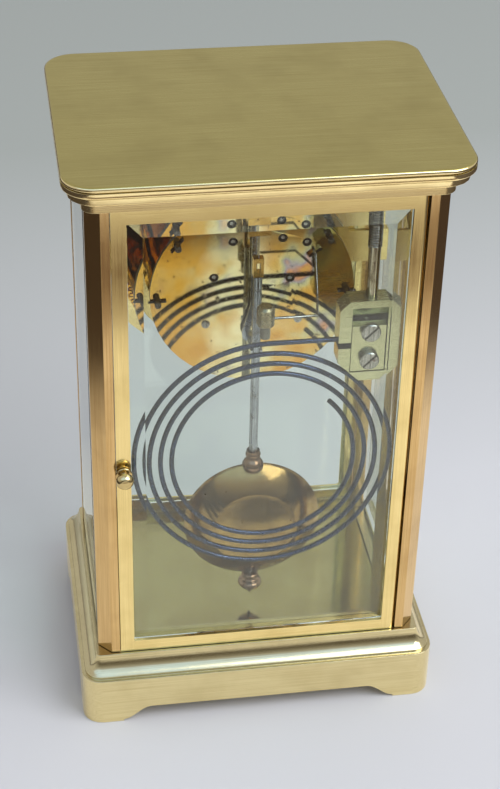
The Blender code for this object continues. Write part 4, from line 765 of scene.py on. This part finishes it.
def turnedMesh(name, profile, turn, steps):
    shape = bmesh.new()
    rings = []
    for radius, height in profile:
        if radius < tiny:
            rings.append([shape.verts.new((0, 0, height))])
            continue
        angles = [2 * math.pi * step / steps for step in range(steps)]
        rings.append([shape.verts.new((radius * math.cos(a), radius * math.sin(a), height)) for a in angles])
    for upper, lower in zip(rings, rings[1:]):
        for step in range(steps):
            corners = [upper[step % len(upper)], upper[(step + 1) % len(upper)],
                       lower[(step + 1) % len(lower)], lower[step % len(lower)]]
            distinct = list(dict.fromkeys(corners))
            if len(distinct) > 2:
                shape.faces.new(distinct)
    bmesh.ops.recalc_face_normals(shape, faces=shape.faces)
    mesh = bpy.data.meshes.new(name)
    shape.to_mesh(mesh)
    shape.free()
    mesh.transform(turn)
    smooth(mesh, dressing["sharpTurned"])
    return mesh


pendulumLow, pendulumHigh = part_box("pendulum_rod")
pendulumY = (pendulumLow.y + pendulumHigh.y) / 2
onPendulum = Matrix.Translation((0, pendulumY, 0))

collar = {
    "shares": ((0.42, 1), (0.6, 1), (0.62, 0.93), (0.7, 0.87), (0.68, 0.79), (0.56, 0.72), (0.84, 0.58),
               (1, 0.44), (0.92, 0.29), (0.62, 0.18), (0.7, 0.1), (0.7, 0), (0.28, 0)),
    "radius": 4.65,
    "nodes": "pendulum_collar",
    "steps": 72,
}
finial = {
    "shares": ((0.28, 1), (0.5, 1), (0.66, 0.95), (0.68, 0.88), (0.55, 0.82), (0.62, 0.75), (0.88, 0.67),
               (1, 0.58), (0.94, 0.48), (0.62, 0.38), (0.4, 0.28), (0.26, 0.2), (0, 0)),
    "radius": 5.3,
    "nodes": "rating_nut",
    "steps": 72,
}
for piece in (collar, finial):
    low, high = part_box(piece["nodes"])
    radius, height = piece["radius"] * mm, high.z - low.z
    profile = [(point.x * radius, low.z + point.y * height) for point in curvePoints(piece["shares"])]
    name = piece["nodes"] + "_turned"
    obj = linked(name, turnedMesh(name, profile, onPendulum, piece["steps"]))
    dress(obj, "nutBrass", "pendulum", "aged_brass", piece["nodes"])

# Pendulum rod: as thick as it shows between its hook and the collar, and thin inside the bob and its nut
rod = {"thick": 1.85, "thin": 1.05, "hookGap": 0.3, "collarGap": 0.4, "steps": 40}


def makeRod():
    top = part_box("pendulum_hook")[0].z - rod["hookGap"] * mm
    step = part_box("pendulum_collar")[1].z - rod["collarGap"] * mm
    thick, thin = rod["thick"] * mm, rod["thin"] * mm
    profile = [(0, pendulumHigh.z), (thin, pendulumHigh.z), (thin, top), (thick, top),
               (thick, step), (thin, step), (thin, pendulumLow.z), (0, pendulumLow.z)]
    obj = linked("pendulum_rod_drawn", turnedMesh("pendulum_rod_drawn", profile, onPendulum, rod["steps"]))
    dress(obj, "coldSteel", "pendulum", slotOf["pendulum_rod"], "pendulum_rod")


makeRod()

# Bob: two spun shells with a shallow dish and a raised ring round it; each pair is a radius and half the
# thickness there
bob = {
    "side": ((0, 7.5), (16.6, 7.5), (17.4, 7.9), (18.0, 8.0), (18.7, 7.8), (29.1, 1.36), (29.7, 0.5)),
    "centre": 80.0,
    "steps": 160,
}


def makeBob():
    profile = [(radius * mm, half * mm) for radius, half in bob["side"]]
    profile += [(radius, -half) for radius, half in reversed(profile)]
    place = Matrix.Translation((0, pendulumY, bob["centre"] * mm)) @ Matrix.Rotation(-math.pi / 2, 4, "X")
    obj = linked("pendulum_bob_spun", turnedMesh("pendulum_bob_spun", profile, place, bob["steps"]))
    dress(obj, "bobBrass", "pendulum", "aged_brass", "pendulum_bob")


makeBob()

# Door knobs: a flattened ball on a neck and a foot, turned in one
knob = {
    "shares": ((0, 1), (0.3, 0.99), (0.62, 0.95), (0.85, 0.84), (1, 0.68), (0.95, 0.5), (0.6, 0.38),
               (0.42, 0.26), (0.5, 0.16), (0.9, 0.1), (0.9, 0), (0.3, 0)),
    "radius": 3.6,
    "length": 7.2,
    "steps": 64,
}


def makeKnob(end, direction):
    node = end + "_door_knob"
    low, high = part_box(node)
    face = (high.y if direction > 0 else low.y) - direction * knob["length"] * mm
    radius, length = knob["radius"] * mm, knob["length"] * mm
    profile = [(point.x * radius, point.y * length) for point in curvePoints(knob["shares"])]
    place = Matrix.Translation(((low.x + high.x) / 2, face, (low.z + high.z) / 2))
    turn = Matrix.Rotation(-direction * math.pi / 2, 4, "X")
    obj = linked(node + "_turned", turnedMesh(node + "_turned", profile, place @ turn, knob["steps"]))
    dress(obj, "knobBrass", bodyOf[node], slotOf[node], node)


makeKnob("rear", 1)
makeKnob("front", -1)
print("turned brasswork made")


# Geometry Nodes: one tree for each thing that repeats or follows a rule

def startTree(name, values):
    tree = bpy.data.node_groups.new(name, "GeometryNodeTree")
    tree.interface.new_socket("Geometry", in_out="OUTPUT", socket_type="NodeSocketGeometry")
    kinds = {float: "NodeSocketFloat", int: "NodeSocketInt", tuple: "NodeSocketVector"}
    for label, value in values.items():
        tree.interface.new_socket(label, in_out="INPUT", socket_type=kinds[type(value)])
    start = addNode(tree, "NodeGroupInput")
    return tree, {label: start.outputs[label] for label in values}


def endTree(tree, geometry, material):
    real = addNode(tree, "GeometryNodeRealizeInstances", {"Geometry": geometry})
    painted = addNode(tree, "GeometryNodeSetMaterial", {"Geometry": real, "Material": material})
    addNode(tree, "NodeGroupOutput", {0: painted})


def grow(name, tree, values):
    holder = linked(name, bpy.data.meshes.new(name))
    modifier = holder.modifiers.new("growth", "NODES")
    modifier.node_group = tree
    for item in tree.interface.items_tree:
        if item.in_out == "INPUT" and item.name in values:
            modifier[item.identifier] = values[item.name]
    settle(holder)
    holder.data.name = name
    return holder


def tube(tree, curve, radius, sides):
    ring = addNode(tree, "GeometryNodeCurvePrimitiveCircle", {"Resolution": sides, "Radius": radius})
    swept = addNode(tree, "GeometryNodeCurveToMesh",
                    {"Curve": curve, "Profile Curve": ring, "Fill Caps": True})
    return addNode(tree, "GeometryNodeSetShadeSmooth", {"Geometry": swept})


# Gong: one length of wire, run out of its block and wound inwards as a flat spiral that leans back a little
gong = {
    "Centre X": -2.5 * mm,
    "Centre Z": 125 * mm,
    "Level Y": 36 * mm,
    "Radius": 54.5 * mm,
    "Pitch": 4.65 * mm,
    "Turns": 3.875,
    "Wire": 1.05 * mm,
    "Foot": 40.5 * mm,
    "Lean": math.tan(math.radians(3)),
    "Points per turn": 96,
    "Points in foot": 8,
}
wireSides = 14

# How each point of the wire is found: a name for the result, what is done, and to which two values
gongSums = (
    ("wound", "MULTIPLY", "Turns", "Points per turn"),
    ("steps", "ADD", "wound", "Points in foot"),
    ("count", "ADD", "steps", 1),
    ("past", "SUBTRACT", "index", "Points in foot"),
    ("turns", "DIVIDE", "past", "Points per turn"),
    ("turn", "MAXIMUM", "turns", 0),
    ("angle", "MULTIPLY", "turn", 2 * math.pi),
    ("sine", "SINE", "angle", 0),
    ("cosine", "COSINE", "angle", 0),
    ("inwards", "MULTIPLY", "turn", "Pitch"),
    ("radius", "SUBTRACT", "Radius", "inwards"),
    ("swing", "MULTIPLY", "radius", "sine"),
    ("before", "MINIMUM", "past", 0),
    ("back", "DIVIDE", "before", "Points in foot"),
    ("run", "MULTIPLY", "back", "Foot"),
    ("sideways", "ADD", "swing", "run"),
    ("rise", "MULTIPLY", "radius", "cosine"),
    ("drop", "SUBTRACT", "Radius", "rise"),
    ("lean", "MULTIPLY", "drop", "Lean"),
    ("X", "ADD", "Centre X", "sideways"),
    ("Y", "ADD", "Level Y", "lean"),
    ("Z", "ADD", "Centre Z", "rise"),
)


def gongTree():
    tree, size = startTree("gong_spiral", gong)
    known = dict(size, index=addNode(tree, "GeometryNodeInputIndex"))
    for name, operation, first, second in gongSums:
        values = {0: known.get(first, first), 1: known.get(second, second)}
        known[name] = addNode(tree, "ShaderNodeMath", values, operation=operation)
    line = addNode(tree, "GeometryNodeCurvePrimitiveLine")
    points = addNode(tree, "GeometryNodeResampleCurve", {"Curve": line, "Count": known["count"]})
    place = addNode(tree, "ShaderNodeCombineXYZ", {axis: known[axis] for axis in "XYZ"})
    route = addNode(tree, "GeometryNodeSetPosition", {"Geometry": points, "Position": place})
    endTree(tree, tube(tree, route, size["Wire"], wireSides), finish["blued"])
    return tree


wire = grow("gong_wound", gongTree(), gong)
dress(wire, "blued", "case", slotOf["gong"], "gong")

# Threads: a helical ridge on the gong's rod, up to its nut, and a finer one on the pendulum rod, from its
# nut upwards
threadLength = 24 * mm
threadBelowTop = 4.4 * mm
threadAboveFoot = 4.6 * mm
ridge = {"steps": 28, "sides": 5}
rodLow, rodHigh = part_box("gong_rod")
rodX, rodY = (rodLow.x + rodHigh.x) / 2, (rodLow.y + rodHigh.y) / 2
rodThread = {
    "Radius": 2.5 * mm,
    "Length": threadLength,
    "Pitch": 1.15 * mm,
    "Ridge": 0.4 * mm,
    "Place": (rodX, rodY, rodHigh.z - threadBelowTop - threadLength),
}
lowRod = {
    "Radius": 1.08 * mm,
    "Length": 14 * mm,
    "Pitch": 0.5 * mm,
    "Ridge": 0.16 * mm,
    "Place": (0, pendulumY, pendulumLow.z + threadAboveFoot),
}


def threadTree():
    tree, size = startTree("thread_ridge", rodThread)
    turns = addNode(tree, "ShaderNodeMath", {0: size["Length"], 1: size["Pitch"]}, operation="DIVIDE")
    helix = addNode(tree, "GeometryNodeCurveSpiral", {
        "Resolution": ridge["steps"],
        "Rotations": turns,
        "Start Radius": size["Radius"],
        "End Radius": size["Radius"],
        "Height": size["Length"],
    })
    placed = addNode(tree, "GeometryNodeTransform", {"Geometry": helix, "Translation": size["Place"]})
    endTree(tree, tube(tree, placed, size["Ridge"], ridge["sides"]), finish["steel"])
    return tree


threads = threadTree()
dress(grow("gong_rod_thread", threads, rodThread), "steel", "case", "polished_steel")
dress(grow("pendulum_rod_thread", threads, lowRod), "steel", "pendulum", "polished_steel")

# Minute track: sixty strokes between two fine rings, every fifth stroke broad
dialLow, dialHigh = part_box("dial")
dialZ = (dialLow.z + dialHigh.z) / 2
track = {
    "Inner": 36.6 * mm,
    "Outer": 38.6 * mm,
    "Ring": 0.11 * mm,
    "Thin stroke": 0.22 * mm,
    "Broad stroke": 0.75 * mm,
    "Thickness": 0.06 * mm,
    "Place": (0, dialLow.y, dialZ),
}
trackSteps = {"strokes": 60, "broadEach": 5, "ring": 160}


def trackTree():
    tree, size = startTree("minute_track", track)
    both = addNode(tree, "ShaderNodeMath", {0: size["Inner"], 1: size["Outer"]}, operation="ADD")
    middle = addNode(tree, "ShaderNodeMath", {0: both, 1: 2}, operation="DIVIDE")
    length = addNode(tree, "ShaderNodeMath", {0: size["Outer"], 1: size["Inner"]}, operation="SUBTRACT")
    points = addNode(tree, "GeometryNodeMeshCircle", {"Vertices": trackSteps["strokes"], "Radius": middle})
    index = addNode(tree, "GeometryNodeInputIndex")
    past = addNode(tree, "ShaderNodeMath", {0: index, 1: trackSteps["broadEach"]}, operation="MODULO")
    broad = addNode(tree, "ShaderNodeMath", {0: past, 1: 0.5}, operation="LESS_THAN")
    thin = addNode(tree, "ShaderNodeMath", {0: 1, 1: broad}, operation="SUBTRACT")
    heading = addNode(tree, "GeometryNodeInputPosition")
    turned = addNode(tree, "FunctionNodeAlignEulerToVector", {"Vector": heading}, axis="X")
    joined = addNode(tree, "GeometryNodeJoinGeometry")
    for width, chosen in ((size["Thin stroke"], thin), (size["Broad stroke"], broad)):
        box = addNode(tree, "ShaderNodeCombineXYZ", {"X": length, "Y": width, "Z": size["Thickness"]})
        stroke = addNode(tree, "GeometryNodeMeshCube", {"Size": box})
        copies = addNode(tree, "GeometryNodeInstanceOnPoints", {
            "Points": points, "Selection": chosen, "Instance": stroke, "Rotation": turned})
        feed(tree, joined, {0: copies})
    for radius in (size["Inner"], size["Outer"]):
        profile = addNode(tree, "GeometryNodeCurvePrimitiveQuadrilateral",
                          {"Width": size["Ring"], "Height": size["Thickness"]})
        circle = addNode(tree, "GeometryNodeCurvePrimitiveCircle",
                         {"Resolution": trackSteps["ring"], "Radius": radius})
        ring = addNode(tree, "GeometryNodeCurveToMesh", {"Curve": circle, "Profile Curve": profile})
        feed(tree, joined, {0: ring})
    stood = addNode(tree, "GeometryNodeTransform", {
        "Geometry": joined, "Translation": size["Place"], "Rotation": (math.pi / 2, 0, 0)})
    endTree(tree, stood, finish["ink"])
    return tree


dress(grow("dial_minute_track", trackTree(), track), "ink", "case", "white_enamel")
print("gong, threads and minute track grown")


# Hour numerals: plain Roman figures in thick and thin strokes with serifs, feet towards the centre
numerals = {
    "words": ("XII", "I", "II", "III", "IIII", "V", "VI", "VII", "VIII", "IX", "X", "XI"),
    "radius": 31.2 * mm,
    "height": 7.0 * mm,
    "thick": 1.05 * mm,
    "thin": 0.38 * mm,
    "space": 0.72 * mm,
    "serif": 0.42 * mm,
    "leanWidth": 3.1 * mm,
    "thickness": 0.05 * mm,
}


def strokesOf(letter, left):
    height, thick, thin = numerals["height"], numerals["thick"], numerals["thin"]
    half, wide = height / 2, numerals["leanWidth"]
    if letter == "I":
        return [((left, -half), (left, half), thick)], thick
    if letter == "V":
        return [((left, half), (left + wide / 2, -half), thick),
                ((left + wide - thin, half), (left + wide / 2, -half), thin)], wide
    return [((left, half), (left + wide - thick, -half), thick),
            ((left + wide - thin, half), (left, -half), thin)], wide


def numeralShape(shape, word, angle):
    pieces, left = [], 0
    for letter in word:
        strokes, width = strokesOf(letter, left)
        pieces += strokes
        left += width + numerals["space"]
    total = left - numerals["space"]
    half, serif, thin = numerals["height"] / 2, numerals["serif"], numerals["thin"]
    for level in (-half, half):
        pieces.append(((-serif, level - thin / 2), (-serif, level + thin / 2), total + 2 * serif))
    middle = total / 2
    turn = Matrix.Rotation(-angle, 2)
    for (x0, z0), (x1, z1), width in pieces:
        corners = [(x0 - middle, z0), (x0 - middle + width, z0),
                   (x1 - middle + width, z1), (x1 - middle, z1)]
        flat = [turn @ Vector((x, z + numerals["radius"])) for x, z in corners]
        backs = [shape.verts.new((p.x, dialLow.y, dialZ + p.y)) for p in flat]
        fronts = [shape.verts.new((p.x, dialLow.y - numerals["thickness"], dialZ + p.y)) for p in flat]
        shape.faces.new(fronts)
        shape.faces.new(backs[::-1])
        for step in range(4):
            shape.faces.new((fronts[step], backs[step], backs[(step + 1) % 4], fronts[(step + 1) % 4]))


def makeNumerals():
    shape = bmesh.new()
    for hour, word in enumerate(numerals["words"]):
        numeralShape(shape, word, hour * math.pi / 6)
    bmesh.ops.recalc_face_normals(shape, faces=shape.faces)
    mesh = bpy.data.meshes.new("dial_numerals")
    shape.to_mesh(mesh)
    shape.free()
    dress(linked("dial_numerals", mesh), "ink", "case", "white_enamel")


makeNumerals()
print("dial figured")


# Studio: a pale floor, one broad soft lamp and a plain surrounding; metal mirrors a painted reflection that
# the camera doesn't see: a bright ground with a brown band of painted shade round it and a dark band of
# painted shade at its sides, a dim surrounding low behind the camera and a cool light high above it, a
# painted highlight that shows only in reflections; lengths are in metres, and heights and headings are
# shares of the way up and to the rear on the surrounding sphere
studio = {
    "floor": "#CFD1D8",
    "floorFar": "#A9AFAD",
    "farReach": (-0.5, -0.1),
    "floorHalf": 9.0,
    "floorRoughness": 0.6,
    "reflectedGroundReach": 0.6,
    "reflectedGround": (
        (0.0, "#FFFBF2"), (0.59, "#FFF8EC"), (0.65, "#725A42"),
        (0.79, "#664F39"), (0.82, "#A8927A"), (0.855, "#FFFCF4"),
    ),
    "reflectedShadeBand": "#3A2A1C",
    "reflectedShadeReach": (0.27, 0.35),
    "behindReach": (-0.16, -0.05),
    "besideReach": (0.2, 0.3),
    "back": "#B9C0C0",
    "mirrored": "#DAD9D6",
    "window": "#BCD7FF",
    "windowLight": 1.9,
    "windowHeight": (0.45, 0.62),
    "windowHeading": (0.1, 0.35),
    "dim": "#6E675C",
    "dimHeight": (0.15, 0.55),
    "dimHeading": (0.1, 0.9),
    "ambient": 0.62,
    "lampPlace": (-0.8, 0.65, 1.2),
    "lampSize": 1.1,
    "lampPower": 17,
    "aim": (0, 0, 0.12),
}


def makeFloor():
    mesh = bpy.data.meshes.new("studio_floor")
    half = studio["floorHalf"]
    corners = [(-half, -half, 0), (half, -half, 0), (half, half, 0), (-half, half, 0)]
    mesh.from_pydata(corners, [], [(0, 1, 2, 3)])
    floor = linked("studio_floor", mesh)
    material, tree, shader, place = startMaterial("painted_table", {"Roughness": studio["floorRoughness"]})
    aside, across = addNode(tree, "ShaderNodeSeparateXYZ", {"Vector": place}).outputs[:2]
    sideways = addNode(tree, "ShaderNodeMath", {0: aside}, operation="ABSOLUTE")
    outwards = addNode(tree, "ShaderNodeMath", {0: across}, operation="ABSOLUTE")
    # In reflections only: a painted reflection of a bright ground with a brown band of painted shade, and a
    # dark band of painted shade at either side
    share = addNode(tree, "ShaderNodeMath", {0: outwards, 1: studio["reflectedGroundReach"]}, operation="DIVIDE")
    reflectedGround = addNode(tree, "ShaderNodeValToRGB", {"Fac": share})
    setStops(reflectedGround, studio["reflectedGround"])
    edge = addNode(tree, "ShaderNodeMapRange", {0: sideways, **fromTo(0, 1, *studio["reflectedShadeReach"])})
    reflectedShadeBand = linear(studio["reflectedShadeBand"])
    paintedReflection = addNode(tree, "ShaderNodeMix", {0: edge, 6: reflectedGround, 7: reflectedShadeBand}, data_type="RGBA")
    near = addNode(tree, "ShaderNodeMapRange", {0: across, **fromTo(0, 1, *studio["farReach"])})
    plain = addNode(tree, "ShaderNodeMix", {0: near, **tones(studio, "floorFar", "floor")}, data_type="RGBA")
    behind = addNode(tree, "ShaderNodeMapRange", {0: across, **fromTo(0, 1, *studio["behindReach"])})
    beside = addNode(tree, "ShaderNodeMapRange", {0: sideways, **fromTo(0, 1, *studio["besideReach"])})
    around = addNode(tree, "ShaderNodeMath", {0: behind, 1: beside}, operation="MAXIMUM")
    depth = addNode(tree, "ShaderNodeLightPath").outputs["Glossy Depth"]
    glossy = addNode(tree, "ShaderNodeMath", {0: depth, 1: 1}, operation="MINIMUM")
    mirrored = addNode(tree, "ShaderNodeMath", {0: glossy, 1: around}, operation="MULTIPLY")
    shown = addNode(tree, "ShaderNodeMix", {0: mirrored, 6: plain, 7: paintedReflection}, data_type="RGBA")
    feed(tree, shader, {"Base Color": shown})
    mesh.materials.append(material)


def makeWorld():
    world = bpy.data.worlds.new("studio_surround")
    bpy.context.scene.world = world
    world.use_nodes = True
    tree = world.node_tree
    tree.nodes.clear()
    path = addNode(tree, "ShaderNodeLightPath").outputs
    rays = {0: path["Is Glossy Ray"], 1: path["Is Transmission Ray"]}
    through = addNode(tree, "ShaderNodeMath", rays, operation="MAXIMUM")
    seen = addNode(tree, "ShaderNodeMath", {0: path["Is Camera Ray"], 1: through}, operation="MAXIMUM")
    direction = addNode(tree, "ShaderNodeTexCoord").outputs["Generated"]
    heading, height = addNode(tree, "ShaderNodeSeparateXYZ", {"Vector": direction}).outputs[1:]
    rear = addNode(tree, "ShaderNodeMapRange", {0: heading, **fromTo(0, 1, *studio["dimHeading"])})
    lower = addNode(tree, "ShaderNodeMapRange", {0: height, **fromTo(1, 0, *studio["dimHeight"])})
    low = addNode(tree, "ShaderNodeMath", {0: rear, 1: lower}, operation="MULTIPLY")
    room = addNode(tree, "ShaderNodeMix", {0: low, **tones(studio, "mirrored", "dim")}, data_type="RGBA")
    upper = addNode(tree, "ShaderNodeMapRange", {0: height, **fromTo(0, 1, *studio["windowHeight"])})
    aimed = addNode(tree, "ShaderNodeMapRange", {0: heading, **fromTo(0, 1, *studio["windowHeading"])})
    high = addNode(tree, "ShaderNodeMath", {0: upper, 1: aimed}, operation="MULTIPLY")
    strong = [value * studio["windowLight"] for value in linear(studio["window"])[:3]] + [1]
    window = addNode(tree, "ShaderNodeMix", {0: high, 6: room, 7: strong}, data_type="RGBA")
    glossy = addNode(tree, "ShaderNodeMath", {0: path["Glossy Depth"], 1: 1}, operation="MINIMUM")
    back = linear(studio["back"])
    shown = addNode(tree, "ShaderNodeMix", {0: glossy, 6: back, 7: window}, data_type="RGBA")
    plain = addNode(tree, "ShaderNodeBackground", {"Color": (1, 1, 1, 1), "Strength": studio["ambient"]})
    bright = addNode(tree, "ShaderNodeBackground", {"Color": shown, "Strength": 1.0})
    both = addNode(tree, "ShaderNodeMixShader", {0: seen, 1: plain, 2: bright})
    addNode(tree, "ShaderNodeOutputWorld", {"Surface": both})


def makeLamp():
    data = bpy.data.lights.new("soft_lamp", "AREA")
    data.size = studio["lampSize"]
    data.energy = studio["lampPower"]
    lamp = linked("soft_lamp", data)
    lamp.location = studio["lampPlace"]
    heading = Vector(studio["aim"]) - Vector(studio["lampPlace"])
    lamp.rotation_euler = heading.to_track_quat("-Z", "Y").to_euler()


makeCamera()
makeFloor()
makeWorld()
makeLamp()
bpy.context.scene.view_settings.view_transform = "Standard"
print("studio set")
